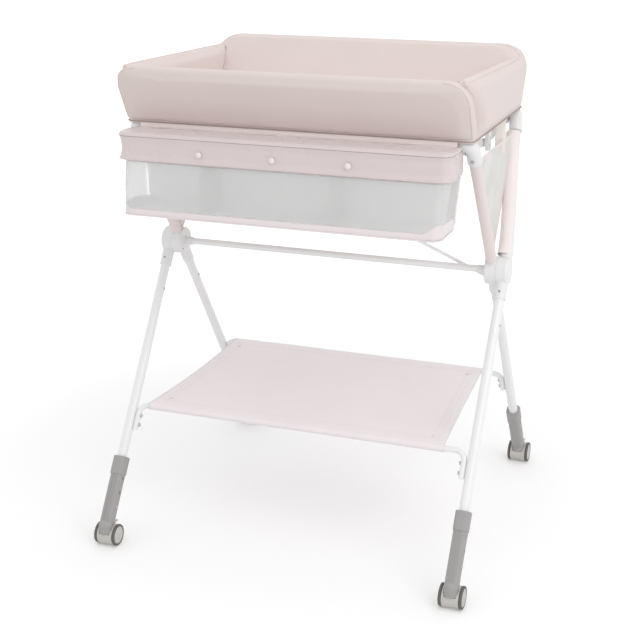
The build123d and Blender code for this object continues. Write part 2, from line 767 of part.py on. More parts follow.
def rail_sleeve(frame):
    half = RAIL_SLEEVE_HALF
    return x_rod(-half, half, frame.rail_y, RAIL_Z, RAIL_SLEEVE_R, SLEEVE_BORE_R)


def rear_sleeves():
    """Sleeves round the rear upper tubes and the rear rail."""
    points = upper_path(FRONT, UPPER_ARM_S + 3, ELBOW_START_S - 1)
    tube = path_tube(points, BEND_R, REAR_SLEEVE_R, SLEEVE_BORE_R)
    return both(tube) + [rail_sleeve(FRONT)]


def front_sleeves():
    """Sleeves round the front upper tubes and the front rail, open behind for the brace."""
    upper = rod(REAR.up(BEND_S + 4), REAR.up(ELBOW_START_S - 1), FRONT_SLEEVE_R, SLEEVE_BORE_R)
    lower = rod(REAR.up(HUB_R + 3), REAR.up(BEND_S + 4), FRONT_SLEEVE_HUB_R, SLEEVE_BORE_R)
    rail = rail_sleeve(REAR)
    notch_y = (REAR.rail_y + 1, REAR.rail_y + 30)
    rail -= block((BRACE_HIGH_X - 16, BRACE_HIGH_X + 24), notch_y, (RAIL_Z - 14, RAIL_Z + 20))
    return both(upper) + both(lower) + [rail]


def side_mesh():
    """V-shaped net between the upper tubes, with the strap that holds its top edge."""
    y_per_z_a = FRONT.sin / FRONT.cos
    y_per_z_b = REAR.sin / REAR.cos
    gap_a, gap_b = MESH_EDGE_GAP / FRONT.cos, MESH_EDGE_GAP / REAR.cos
    low_z = HUB_Z + HUB_R + 2
    rows = []
    for z in (low_z, MESH_TOP_Z):
        rows.append((-(z - HUB_Z) * y_per_z_b + gap_b, (z - HUB_Z) * y_per_z_a - gap_a, z))
    (low_front, low_back, _), (high_front, high_back, _) = rows
    corners = [(low_front, low_z), (low_back, low_z), (high_back, MESH_TOP_Z), (high_front, MESH_TOP_Z)]
    net = side_plate(corners, MESH_X - MESH_THICK / 2, MESH_X + MESH_THICK / 2)
    strap = block((MESH_X - 3, MESH_X - 1), STRAP_Y, (MESH_TOP_Z - 20, PAD_Z - 0.4))
    return both(net) + both(strap)


# Pad ------------------------------------------------------------------------------------


def wall_section(foot_y, top_y, top_z, foot_z=PAD_Z):
    """Outline of a leaning wall: its outer line, rounded top and thicker foot."""
    inward = 1 if top_y < 0 else -1
    return [
        (foot_y, foot_z),
        (top_y, top_z - WALL_ROLL),
        (top_y + inward * WALL_ROLL, top_z),
        (top_y + inward * WALL_TOP, top_z - 4),
        (foot_y + inward * WALL_FOOT, foot_z + PAD_FLOOR),
        (foot_y + inward * WALL_FOOT, foot_z),
    ]


def pad_side_walls():
    """Front and rear walls, with rounded top corners."""
    walls = []
    for foot_y, top_y, top_z in (
        (FRONT_FOOT_Y, FRONT_TOP_Y, WALL_Z),
        (REAR_FOOT_Y, REAR_TOP_Y, REAR_WALL_Z),
    ):
        wall = side_plate(wall_section(foot_y, top_y, top_z), -PAD_HALF_X, PAD_HALF_X)
        walls.append(wall & rounded_front(top_z))
    return walls


def rounded_front(top_z):
    """Block, seen from the front, that rounds the walls' top corners."""
    outline = fillet(Rectangle(2 * PAD_HALF_X, FAR).vertices(), WALL_CORNER_R)
    plane = Plane(origin=(0, FAR, top_z - FAR / 2), x_dir=(1, 0, 0), z_dir=(0, -1, 0))
    return extrude(plane * outline, 2 * FAR)


def pad_end_walls(side_walls):
    """Left and right walls, fitted between the front and rear walls."""
    inner_foot, inner_top = PAD_HALF_X - WALL_FOOT, PAD_TOP_HALF_X - WALL_TOP
    outline = Polyline(
        [
            (inner_foot, PAD_Z),
            (PAD_HALF_X, PAD_Z),
            (PAD_HALF_X + END_BULGE[0], PAD_Z + END_BULGE[1]),
            (PAD_TOP_HALF_X, WALL_Z - WALL_ROLL),
            (PAD_TOP_HALF_X - WALL_ROLL, WALL_Z),
            (inner_top, WALL_Z - 4),
            (inner_foot, PAD_Z + PAD_FLOOR),
        ],
        close=True,
    )
    plane = Plane(origin=(0, REAR_TOP_Y - 4, 0), x_dir=(1, 0, 0), z_dir=(0, -1, 0))
    wall = extrude(plane * make_face(outline), REAR_TOP_Y - FRONT_TOP_Y - 8)
    envelope = side_plate(
        [
            (FRONT_FOOT_Y + WALL_FOOT, PAD_Z),
            (FRONT_FOOT_Y + WALL_FOOT, PAD_Z + PAD_FLOOR),
            (FRONT_TOP_Y + WALL_TOP, WALL_Z - 4),
            (FRONT_TOP_Y + WALL_TOP, WALL_Z + 30),
            (REAR_TOP_Y - WALL_TOP, WALL_Z + 30),
            (REAR_TOP_Y - WALL_TOP, REAR_WALL_Z - 4),
            (REAR_FOOT_Y - WALL_FOOT, PAD_Z + PAD_FLOOR),
            (REAR_FOOT_Y - WALL_FOOT, PAD_Z),
        ],
        0,
        FAR,
    )
    return both(wall & envelope)


def pad_floor():
    half = PAD_HALF_X - WALL_FOOT
    y = (FRONT_FOOT_Y + WALL_FOOT, REAR_FOOT_Y - WALL_FOOT)
    return block((-half, half), y, (PAD_Z, PAD_Z + PAD_FLOOR))


# Organiser ------------------------------------------------------------------------------


def basket_plate(inset, z0, z1):
    """Block with the basket's plan outline between two heights."""
    length = 2 * (BASKET_HALF - inset)
    depth = BASKET_BACK_Y - BASKET_FRONT_Y - 2 * inset
    plan = RectangleRounded(length, depth, BASKET_CORNER_R - inset)
    return extrude(Pos(0, (BASKET_FRONT_Y + BASKET_BACK_Y) / 2, z0) * plan, z1 - z0)


def basket_ring(inset, thick, z0, z1):
    """Wall along the basket's plan outline between two heights."""
    return basket_plate(inset, z0, z1) - basket_plate(inset + thick, z0, z1)


def window_zone():
    """Space of the clear panels: the front and both ends between the two bands."""
    x = BASKET_HALF + 5
    return block((-x, x), (BASKET_FRONT_Y - 5, BASKET_BACK_Y - 8), (WINDOW_LOW_Z, WINDOW_HIGH_Z))


def organiser_basket():
    """Fabric bottom, back, lower band and rim band in one piece."""
    shell = basket_ring(0, BASKET_WALL, BASKET_Z, BASKET_TOP_Z)
    shell += basket_plate(0, BASKET_Z, BASKET_Z + BASKET_WALL)
    shell -= block((-400, 400), (RAIL_FRONT_Y, -100), (BASKET_BACK_TOP_Z, BASKET_TOP_Z + 1))
    return shell - window_zone()


def organiser_windows():
    """Clear strip round the front and the ends."""
    inset = (BASKET_WALL - WINDOW_THICK) / 2
    return basket_ring(inset, WINDOW_THICK, WINDOW_LOW_Z, WINDOW_HIGH_Z) & window_zone()


def organiser_dividers():
    """Two net walls across the basket."""
    y = (BASKET_FRONT_Y + BASKET_WALL + 0.3, BASKET_BACK_Y - BASKET_WALL - 0.3)
    z = (BASKET_Z + BASKET_WALL, WINDOW_HIGH_Z - 4)
    half = DIVIDER_THICK / 2
    return [block((x - half, x + half), y, z) for x in DIVIDER_X]


def lid_section(inset):
    """Outline of the lid in Y and Z, with a rounded front edge."""
    top = LID_TOP_Z + 1.2 - inset
    front = BASKET_FRONT_Y - LID_GAP - LID_THICK + inset
    return [
        (LID_HINGE_Y - 0.2, top),
        (front + 7, top - 1.2),
        (front + 2, top - 3.2),
        (front, top - 8),
        (front, LID_DROP_Z),
        (LID_HINGE_Y - 0.2, LID_DROP_Z),
    ]


def organiser_lid():
    """Flap with a drop over the basket's front and short returns round the ends."""
    outer_x = BASKET_HALF + LID_GAP + LID_THICK
    low_z, high_z = LID_DROP_Z - 20, LID_TOP_Z + 20
    outer = side_plate(lid_section(0), -outer_x, outer_x)
    outer = outer & basket_plate(-LID_GAP - LID_THICK, low_z, high_z)
    inner = side_plate(lid_hollow(), -outer_x, outer_x) & basket_plate(-LID_GAP, low_z, high_z)
    lid = outer - inner
    returns = (LID_DROP_Z - 1, LID_TOP_Z + 1.2 - LID_THICK)
    return lid - block((-outer_x - 1, outer_x + 1), (LID_RETURN_Y, -190), returns)


def lid_hollow():
    """Inner outline of the lid, open at the back and below."""
    points = lid_section(LID_THICK)
    back, low = LID_HINGE_Y + 20, LID_DROP_Z - 20
    return [(back, points[0][1])] + points[1:4] + [(points[4][0], low), (back, low)]


def lid_snaps():
    """Round press studs on the lid's drop."""
    front = BASKET_FRONT_Y - LID_GAP - LID_THICK
    snaps = []
    for x in SNAP_X:
        snap = rod((x, front, SNAP_Z), (x, front - 2.2, SNAP_Z), SNAP_R)
        snaps.append(fillet(snap.edges().sort_by(Axis.Y)[0], 1.6))
    return snaps


# All nodes ------------------------------------------------------------------------------


def elbow_screw(frame):
    """Screw head on the elbow's outer face."""
    face, out = screw_place(frame)
    return rod(face + out * RUNNING_GAP, face + out * 1.8, SCREW_R)


def frame_bolts(frame, bar_z):
    return both(elbow_screw(frame)) + both(stay_pin(frame)) + bar_bolts(frame, bar_z)


def frame_nodes():
    """Pieces of the two crossed frames."""
    return {
        "front_legs": leg_tubes(FRONT),
        "front_leg_stubs": stub_tubes(FRONT),
        "rear_upper_tubes": both(upper_tube(FRONT)),
        "outer_hub_halves": both(hub_outer()),
        "hub_caps": both(hub_cap()),
        "rear_elbows": both(elbow(FRONT)),
        "rear_top_rail": [top_rail(FRONT)],
        "rear_sleeves": rear_sleeves(),
        "shelf_front_bar": [shelf_bar(FRONT, FRONT_BAR_Z)],
        "front_frame_bolts": frame_bolts(FRONT, FRONT_BAR_Z),
        "rear_legs": leg_tubes(REAR),
        "rear_leg_stubs": stub_tubes(REAR),
        "front_upper_tubes": both(upper_tube(REAR)),
        "inner_hub_halves": both(hub_inner()),
        "pivot_bolts": [solid for piece in pivot_bolt() for solid in both(piece)],
        "crossbar": [x_rod(-CROSSBAR_END_X, CROSSBAR_END_X, 0, HUB_Z, CROSSBAR_R)],
        "front_elbows": both(elbow(REAR)),
        "front_top_rail": [top_rail(REAR)],
        "front_sleeves": front_sleeves(),
        "shelf_rear_bar": [shelf_bar(REAR, REAR_BAR_Z)],
        "brace_rod": [brace_rod()],
        "rear_frame_bolts": frame_bolts(REAR, REAR_BAR_Z) + brace_screws(),
    }


def soft_nodes():
    """Pad, shelf sheet, side panels and organiser."""
    side_walls = pad_side_walls()
    return {
        "pad_floor": [pad_floor()],
        "pad_side_walls": side_walls,
        "pad_end_walls": pad_end_walls(side_walls),
        "shelf_sheet": [shelf_sheet()],
        "side_mesh_panels": side_mesh(),
        "organiser_basket": [organiser_basket()],
        "organiser_windows": [organiser_windows()],
        "organiser_dividers": organiser_dividers(),
        "organiser_lid": [organiser_lid()],
        "lid_snaps": lid_snaps(),
    }


def stay_nodes():
    nodes = {}
    for name, side in SIDES:
        for half, solids in (("rear", stay_rear()), ("front", stay_front())):
            nodes[f"stay_{half}_{name}"] = [solid if side > 0 else mirrored(solid) for solid in solids]
    return nodes


def foot_nodes():
    """Extension, buttons, caster and brake of each leg."""
    nodes = {}
    for row, frame in (("front", FRONT), ("rear", REAR)):
        for name, side in SIDES:
            place = f"{row}_{name}"
            nodes[f"leg_extension_{place}"] = [leg_extension(frame, side)]
            nodes[f"height_button_{place}"] = snap_button(
                frame, side, HEIGHT_BUTTON_S, TUBE_BORE_R, EXT_WIDTH / 2 + 1.6, 46
            )
            nodes[f"joint_button_{place}"] = snap_button(
                frame, side, JOINT_BUTTON_S, NECK_BORE_R, TUBE_R + 1.8, 42
            )
            nodes[f"caster_hood_{place}"] = caster_hood(frame, side)
            nodes[f"caster_wheels_{place}"] = wheel_pair(frame, side)
            nodes[f"brake_lever_{place}"] = brake_lever(frame, side)
    return nodes


def all_nodes():
    return {**frame_nodes(), **soft_nodes(), **stay_nodes(), **foot_nodes()}


def main():
    os.makedirs("parts", exist_ok=True)
    for name, solids in all_nodes().items():
        placed = [Pos(0, HUB_Y, 0) * solid for shape in solids for solid in shape.solids()]
        export_step(placed[0] if len(placed) == 1 else Compound(placed), f"parts/{name}.step")


main()
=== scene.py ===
import math

import bmesh
import bpy
import numpy as np
from bpy.props import FloatProperty, FloatVectorProperty, PointerProperty
from mathutils import Matrix, Vector, noise
from mathutils.bvhtree import BVHTree


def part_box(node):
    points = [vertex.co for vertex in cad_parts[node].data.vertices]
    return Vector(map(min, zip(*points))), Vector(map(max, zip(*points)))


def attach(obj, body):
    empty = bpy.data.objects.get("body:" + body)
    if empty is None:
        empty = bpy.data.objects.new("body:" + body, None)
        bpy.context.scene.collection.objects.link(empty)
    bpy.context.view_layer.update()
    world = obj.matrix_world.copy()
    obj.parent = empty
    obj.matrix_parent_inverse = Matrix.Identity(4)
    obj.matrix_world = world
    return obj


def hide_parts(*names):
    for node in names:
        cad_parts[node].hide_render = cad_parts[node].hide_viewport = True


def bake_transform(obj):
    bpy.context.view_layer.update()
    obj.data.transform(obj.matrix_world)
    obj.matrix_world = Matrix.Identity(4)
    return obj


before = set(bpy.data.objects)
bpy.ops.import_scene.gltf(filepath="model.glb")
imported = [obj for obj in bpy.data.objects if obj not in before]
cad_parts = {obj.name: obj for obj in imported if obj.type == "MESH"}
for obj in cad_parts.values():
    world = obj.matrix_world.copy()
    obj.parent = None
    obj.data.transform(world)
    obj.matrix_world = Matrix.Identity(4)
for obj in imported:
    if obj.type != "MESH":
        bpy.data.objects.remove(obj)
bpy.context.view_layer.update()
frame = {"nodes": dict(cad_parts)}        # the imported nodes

bl_info = {
    "name": "Changing Table Maker",
    "version": (1, 0, 0),
    "blender": (4, 5, 0),
    "location": "3D View > Sidebar > Changing Table",
    "description": "Dresses a folding changing table: padded basin, organiser, sleeves, shelf and feet",
    "category": "Add Mesh",
}

MM = 0.001


# Places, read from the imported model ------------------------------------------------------


def middle(node):
    """Middle of a node's box."""
    low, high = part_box(node)
    return (low + high) / 2


HUB = middle("crossbar")
PAD_LOW, PAD_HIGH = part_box("pad_side_walls")
ENDS_LOW, ENDS_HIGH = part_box("pad_end_walls")
FLOOR_LOW, FLOOR_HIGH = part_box("pad_floor")
BASKET_LOW, BASKET_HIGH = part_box("organiser_basket")
LID_LOW, LID_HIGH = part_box("organiser_lid")
WINDOW_LOW, WINDOW_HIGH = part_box("organiser_windows")
NET_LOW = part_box("side_mesh_panels")[0]
FRONT_RAIL = middle("front_top_rail")
REAR_RAIL = middle("rear_top_rail")


def srgb(red, green, blue):
    """Linear colour from the usual 0 to 255 values."""
    values = []
    for value in (red, green, blue):
        v = value / 255
        values.append(v / 12.92 if v <= 0.04045 else ((v + 0.055) / 1.055) ** 2.4)
    return tuple(values)


def clamp(value):
    """The value, kept from 0 to 1."""
    return min(1.0, max(0.0, value))


def spaced(low, high, count):
    """Even steps from low to high, both included."""
    return [low + (high - low) * i / (count - 1) for i in range(count)]


# Settings --------------------------------------------------------------------------------


def colour(name, description, value):
    return FloatVectorProperty(
        name=name, description=description, subtype="COLOR", size=3, min=0, max=1, default=value
    )


def length(name, description, value):
    return FloatProperty(
        name=name, description=description, subtype="DISTANCE", unit="LENGTH", min=0, default=value
    )


class ChangingTableColours(bpy.types.PropertyGroup):
    """Colours of the covers, the frame and the feet."""

    pad: colour("Pad", "Cover of the padded basin", srgb(226, 213, 209))
    cloth: colour("Cloth", "Front sleeves, nets' binding and the bag's back", srgb(237, 226, 223))
    # Rear sleeve: a lighter copy of the cloth colour, painted light for the lit rear sleeves.
    sleeve: colour("Rear sleeve painted light", "Wide sleeves of the rear upper tubes", srgb(247, 239, 237))
    satin: colour("Satin", "Organiser's lid and bands", srgb(222, 209, 210))
    shelf: colour("Shelf", "Shelf sheet", srgb(246, 238, 240))
    band: colour("Bag band", "Organiser's lower band", srgb(236, 227, 228))
    gauze: colour("Divider net", "Net of the organiser's dividers", srgb(172, 166, 163))
    # Lining: near white, paler than the cloth, partly painted light to brighten the shaded inside of the
    # bag.
    lining: colour("Lining", "Inside of the organiser", srgb(250, 249, 248))
    # Seam: a dark rose that is painted shade along sewn-in edges, the pad's inner corners, the walls' foot
    # and the lid's seams.
    seam: colour("Seam", "Sewn-in edges that lie in shade", srgb(168, 150, 146))
    strap: colour("Strap", "Webbing straps", srgb(240, 235, 226))
    net: colour("Net", "Net panels and dividers", srgb(240, 239, 237))
    frame: colour("Frame", "Painted tubes", srgb(243, 243, 243))
    plastic: colour("White plastic", "Hubs, elbows and latches", srgb(238, 238, 238))
    foot: colour("Foot", "Leg extensions", srgb(166, 163, 163))
    hood: colour("Hood", "Caster hoods and levers", srgb(203, 200, 194))
    tyre: colour("Tyre", "Caster tyres", srgb(105, 103, 98))
    disc: colour("Wheel disc", "Discs of the caster wheels", srgb(204, 202, 198))


class ChangingTableSizes(bpy.types.PropertyGroup):
    """Sizes of the soft goods' details."""

    voxel: length("Pad voxel", "Cell size of the pad's mesh", 5 * MM)
    swell: length("Pad swell", "The most that the padding bulges", 8 * MM)
    piping: length("Piping radius", "Radius of the pad's piping", 1.5 * MM)
    stitch: length("Stitch length", "Length of one stitch", 2.6 * MM)
    pitch: length("Stitch pitch", "From one stitch to the next", 4.2 * MM)
    net_cell: length("Net cell", "Width of one cell of the net", 3.6 * MM)
    strand: length("Net strand", "Radius of the net's strands", 0.32 * MM)
    sag: length("Shelf sag", "How far the shelf sheet hangs in its middle", 5 * MM)


def colours():
    return bpy.context.scene.changing_colours


def sizes():
    return bpy.context.scene.changing_sizes


# Shader node groups ----------------------------------------------------------------------


class Nodes:
    """Short way to add and link nodes in one tree."""

    def __init__(self, tree):
        self.tree = tree

    def add(self, kind, **values):
        node = self.tree.nodes.new(kind)
        for key, value in values.items():
            setattr(node, key, value)
        return node

    def put(self, kind, given, **values):
        """Adds a node and fills its inputs: a socket is linked in, any other value is set."""
        node = self.add(kind, **values)
        for key, value in given.items():
            if isinstance(value, bpy.types.NodeSocket):
                self.link(value, node.inputs[key])
            else:
                node.inputs[key].default_value = value
        return node

    def link(self, source, target):
        self.tree.links.new(source, target)

    def math(self, operation, a, b=None):
        node = self.add("ShaderNodeMath", operation=operation)
        for i, value in enumerate((a, b)):
            if value is None:
                continue
            if isinstance(value, (int, float)):
                node.inputs[i].default_value = value
            else:
                self.link(value, node.inputs[i])
        return node.outputs[0]


def add_inputs(tree, inputs):
    """Named input sockets: None starts a vector, four numbers a colour."""
    for label, value in inputs.items():
        if value is None:
            kind = "Vector"
        elif isinstance(value, tuple):
            kind = "Color"
        else:
            kind = "Int" if isinstance(value, int) else "Float"
        socket = tree.interface.new_socket(label, in_out="INPUT", socket_type="NodeSocket" + kind)
        if value is not None:
            socket.default_value = value


def shader_group(name, inputs):
    """Empty shader node group that gives a colour, a roughness and a height."""
    tree = bpy.data.node_groups.new(name, "ShaderNodeTree")
    add_inputs(tree, inputs)
    for label, kind in (("Colour", "Color"), ("Roughness", "Float"), ("Height", "Float")):
        tree.interface.new_socket(label, in_out="OUTPUT", socket_type="NodeSocket" + kind)
    n = Nodes(tree)
    return tree, n, n.add("NodeGroupInput").outputs, n.add("NodeGroupOutput")


def toned(n, out, colour, tone):
    """Gives the colour scaled by 1 plus a small tone."""
    scale = n.math("ADD", tone, 1.0)
    mixed = n.put("ShaderNodeVectorMath", {0: colour, "Scale": scale}, operation="SCALE")
    n.link(mixed.outputs[0], out.inputs["Colour"])


def grain_group():
    """Fine moulded or sprayed grain with slow patches of tone and gloss."""
    inputs = {
        "Vector": None,
        "Colour": (0.8, 0.8, 0.8, 1),
        "Grain Scale": 900.0,
        "Patch Scale": 14.0,
        "Tone Spread": 0.04,
        "Roughness": 0.4,
        "Roughness Spread": 0.08,
    }
    tree, n, given, out = shader_group("surface_grain", inputs)
    noise_node = "ShaderNodeTexNoise"
    fine = n.put(noise_node, {"Detail": 3, "Vector": given["Vector"], "Scale": given["Grain Scale"]})
    slow = {"Detail": 4, "Roughness": 0.6, "Vector": given["Vector"], "Scale": given["Patch Scale"]}
    patch = n.put(noise_node, slow)
    centred = n.math("SUBTRACT", patch.outputs["Fac"], 0.5)
    toned(n, out, given["Colour"], n.math("MULTIPLY", centred, given["Tone Spread"]))
    gloss = n.math("MULTIPLY", centred, given["Roughness Spread"])
    n.link(n.math("ADD", given["Roughness"], gloss), out.inputs["Roughness"])
    n.link(fine.outputs["Fac"], out.inputs["Height"])
    return tree


def weave_group():
    """Plain weave of crossing threads, with slubs and slow patches of tone."""
    inputs = {
        "UV": None,
        "Vector": None,
        "Colour": (0.8, 0.8, 0.8, 1),
        "Threads": 1100.0,
        "Thread Tone": 0.06,
        "Patch Tone": 0.05,
        "Roughness": 0.7,
    }
    tree, n, given, out = shader_group("woven_cloth", inputs)
    scaled = n.put("ShaderNodeVectorMath", {0: given["UV"], "Scale": given["Threads"]}, operation="SCALE")
    split = n.put("ShaderNodeSeparateXYZ", {0: scaled.outputs[0]})
    across, along = [n.math("SINE", n.math("MULTIPLY", split.outputs[axis], math.pi)) for axis in "XY"]
    threads = n.math("MULTIPLY", across, along)
    slub = n.put("ShaderNodeTexNoise", {"Scale": 240, "Detail": 2, "Vector": given["Vector"]})
    height = n.math("ADD", n.math("MULTIPLY", threads, 0.5), slub.outputs["Fac"])
    n.link(height, out.inputs["Height"])
    patch = n.put("ShaderNodeTexNoise", {"Scale": 9, "Detail": 5, "Vector": given["Vector"]})
    centred = n.math("SUBTRACT", patch.outputs["Fac"], 0.5)
    thread_tone = n.math("MULTIPLY", threads, given["Thread Tone"])
    patch_tone = n.math("MULTIPLY", centred, given["Patch Tone"])
    toned(n, out, given["Colour"], n.math("ADD", thread_tone, patch_tone))
    rough = n.math("ADD", given["Roughness"], n.math("MULTIPLY", centred, 0.12))
    n.link(rough, out.inputs["Roughness"])
    return tree


def principled(name):
    """New material with its node helper and its shader."""
    material = bpy.data.materials.new(name)
    material.use_nodes = True
    n = Nodes(material.node_tree)
    return material, n, material.node_tree.nodes["Principled BSDF"]


def place_group(n, tree, shader, tint, bump, depth, values):
    """Puts a shader group in a material and wires its colour, roughness and bump."""
    coords = n.add("ShaderNodeTexCoord")
    group = n.add("ShaderNodeGroup")
    group.node_tree = tree
    group.inputs["Colour"].default_value = (*tint, 1)
    for key, value in values.items():
        group.inputs[key].default_value = value
    n.link(coords.outputs["Object"], group.inputs["Vector"])
    if "UV" in group.inputs:
        n.link(coords.outputs["UV"], group.inputs["UV"])
    relief = n.add("ShaderNodeBump")
    relief.inputs["Strength"].default_value = bump
    relief.inputs["Distance"].default_value = depth
    n.link(group.outputs["Height"], relief.inputs["Height"])
    n.link(relief.outputs["Normal"], shader.inputs["Normal"])
    n.link(group.outputs["Colour"], shader.inputs["Base Color"])
    n.link(group.outputs["Roughness"], shader.inputs["Roughness"])


def hard_finish(name, tint, rough, bump=0.12, coat=0.0, metal=0.0, grain=900.0, tone=0.03):
    """Paint, moulded plastic or metal."""
    material, n, shader = principled(name)
    values = {"Grain Scale": grain, "Tone Spread": tone, "Roughness": rough}
    place_group(n, GROUPS["grain"], shader, tint, bump, 0.0006, values)
    shader.inputs["Metallic"].default_value = metal
    shader.inputs["Coat Weight"].default_value = coat
    shader.inputs["Coat Roughness"].default_value = 0.12
    return material


def cloth_finish(name, tint, rough, sheen, threads, bump=0.25, tone=0.05):
    """Woven cover cloth."""
    material, n, shader = principled(name)
    values = {
        "Threads": threads,
        "Roughness": rough,
        "Thread Tone": tone,
        "Patch Tone": 0.06,
    }
    place_group(n, GROUPS["weave"], shader, tint, bump, 0.0005, values)
    shader.inputs["Sheen Weight"].default_value = sheen
    shader.inputs["Sheen Roughness"].default_value = 0.4
    shader.inputs["Specular IOR Level"].default_value = 0.35
    return material


def film_finish(name, tint, alpha):
    """Clear vinyl, slightly hazy."""
    material, n, shader = principled(name)
    values = {"Grain Scale": 60.0, "Tone Spread": 0.02, "Roughness": 0.12, "Roughness Spread": 0.1}
    place_group(n, GROUPS["grain"], shader, tint, 0.3, 0.002, values)
    shader.inputs["Alpha"].default_value = alpha
    return material


GROUPS = {}
FINISHES = {}


def make_finishes():
    c = colours()
    GROUPS["grain"] = grain_group()
    GROUPS["weave"] = weave_group()
    FINISHES.update(
        pad=cloth_finish("pad cover", c.pad, 0.52, 0.25, threads=1500, bump=0.15, tone=0.02),
        cloth=cloth_finish("pink cloth", c.cloth, 0.7, 0.3, threads=1000),
        satin=cloth_finish("pink satin", c.satin, 0.27, 0.5, threads=1600, bump=0.12, tone=0.02),
        strap=cloth_finish("cream webbing", c.strap, 0.75, 0.2, threads=700, bump=0.5),
        net=hard_finish("net yarn", c.net, 0.6),
        # Partly painted light: the near-white lining brightens the shaded inside of the bag.
        lining=cloth_finish("lining with painted light", c.lining, 0.7, 0.2, threads=900, bump=0.3),
        shelf=cloth_finish("shelf cloth", c.shelf, 0.7, 0.3, threads=1000),
        # Painted light: a paler copy of the pink cloth for the rear sleeves.
        sleeve=cloth_finish("sleeve cloth with painted light", c.sleeve, 0.6, 0.4, threads=1000),
        band=cloth_finish("pale satin", c.band, 0.4, 0.4, threads=1600, bump=0.12, tone=0.02),
        gauze=hard_finish("grey net yarn", c.gauze, 0.6),
        thread=hard_finish("sewing thread", srgb(236, 224, 221), 0.6),
        # Painted shade: this dark seam finish stands in for the shade along seams and creases.
        seam=hard_finish("painted seam shade", c.seam, 0.7),
        paint=hard_finish("white paint", c.frame, 0.3, bump=0.06, coat=0.35),
        plastic=hard_finish("white plastic", c.plastic, 0.42, grain=1500),
        steel=hard_finish("zinc steel", srgb(196, 196, 198), 0.32, metal=1.0),
        foot=hard_finish("warm grey plastic", c.foot, 0.5, grain=1400, tone=0.06),
        hood=hard_finish("pale grey plastic", c.hood, 0.45, grain=1400, tone=0.04),
        tyre=hard_finish("grey rubber", c.tyre, 0.7, bump=0.3, grain=1200, tone=0.1),
        disc=hard_finish("wheel disc", c.disc, 0.45, grain=1400, tone=0.04),
        # Painted shade: a dark finish for the raised crosses that stand for the screws' cross recesses.
        hole=hard_finish("painted recess shade", srgb(70, 66, 64), 0.8),
        pearl=hard_finish("pearl stud", srgb(243, 232, 232), 0.22, coat=0.6, grain=300),
        film=film_finish("clear vinyl", srgb(254, 254, 254), 0.42),
    )


# Mesh helpers ----------------------------------------------------------------------------


def link_mesh(name, mesh, finish=None):
    """Object for a mesh, linked to the scene, in one finish."""
    piece = bpy.data.objects.new(name, mesh)
    bpy.context.scene.collection.objects.link(piece)
    if finish is not None:
        mesh.materials.clear()
        mesh.materials.append(FINISHES[finish])
    mesh.shade_smooth()
    return piece


def new_mesh(name, points, faces, edges=()):
    """Mesh from points, faces and edges."""
    mesh = bpy.data.meshes.new(name)
    mesh.from_pydata([tuple(p) for p in points], list(edges), faces)
    mesh.update()
    return mesh


def grid_mesh(name, rows, closed_u=False, closed_v=False):
    """Mesh of a grid of points, rows[v][u], with UVs in metres along and across."""
    points = np.array(rows, float)
    count_v, count_u = points.shape[:2]
    faces = []
    across = np.linalg.norm(np.roll(points, -1, 1) - points, axis=2).mean(0)
    along = np.linalg.norm(np.roll(points, -1, 0) - points, axis=2).mean(1)
    u_at = np.concatenate([[0], np.cumsum(across)])
    v_at = np.concatenate([[0], np.cumsum(along)])
    uvs = []
    for v in range(count_v if closed_v else count_v - 1):
        for u in range(count_u if closed_u else count_u - 1):
            v1, u1 = (v + 1) % count_v, (u + 1) % count_u
            faces.append((v * count_u + u, v * count_u + u1, v1 * count_u + u1, v1 * count_u + u))
            uvs += [(u_at[u], v_at[v]), (u_at[u + 1], v_at[v])]
            uvs += [(u_at[u + 1], v_at[v + 1]), (u_at[u], v_at[v + 1])]
    mesh = new_mesh(name, points.reshape(-1, 3), faces)
    layer = mesh.uv_layers.new(name="UVMap")
    layer.data.foreach_set("uv", np.array(uvs, np.float32).ravel())
    return mesh


def grid_piece(name, rows, finish, closed_u=False):
    """Piece made of a grid of points."""
    return link_mesh(name, grid_mesh(name, rows, closed_u=closed_u), finish)


def outward(piece):
    """Merges a closed piece's doubles and turns its faces outwards."""
    cleaned = bmesh.new()
    cleaned.from_mesh(piece.data)
    bmesh.ops.remove_doubles(cleaned, verts=cleaned.verts, dist=0.001 * MM)
    bmesh.ops.recalc_face_normals(cleaned, faces=cleaned.faces)
    cleaned.to_mesh(piece.data)
    cleaned.free()


def box_uv(mesh):
    """UVs in metres, laid on each face from the side that it faces most."""
    layer = mesh.uv_layers.get("UVMap") or mesh.uv_layers.new(name="UVMap")
    for face in mesh.polygons:
        axis = max(range(3), key=lambda i: abs(face.normal[i]))
        first, second = [(1, 2), (0, 2), (0, 1)][axis]
        for loop in face.loop_indices:
            co = mesh.vertices[mesh.loops[loop].vertex_index].co
            layer.data[loop].uv = (co[first], co[second])


def apply_modifiers(piece):
    """Turns a piece's live modifiers into plain mesh."""
    graph = bpy.context.evaluated_depsgraph_get()
    graph.update()
    mesh = bpy.data.meshes.new_from_object(piece.evaluated_get(graph), depsgraph=graph)
    piece.modifiers.clear()
    piece.data = mesh
    mesh.shade_smooth()
    return piece


def thicken(piece, thickness, offset=0.0):
    """Gives a single surface a thickness, with closed edges."""
    solid = piece.modifiers.new("Thickness", "SOLIDIFY")
    solid.thickness = thickness
    solid.offset = offset
    solid.use_rim = True
    apply_modifiers(piece)
    outward(piece)
    return piece


def smooth_more(piece):
    """Subdivides a piece once."""
    subdivision = piece.modifiers.new("Smooth", "SUBSURF")
    subdivision.levels = subdivision.render_levels = 1
    return apply_modifiers(piece)


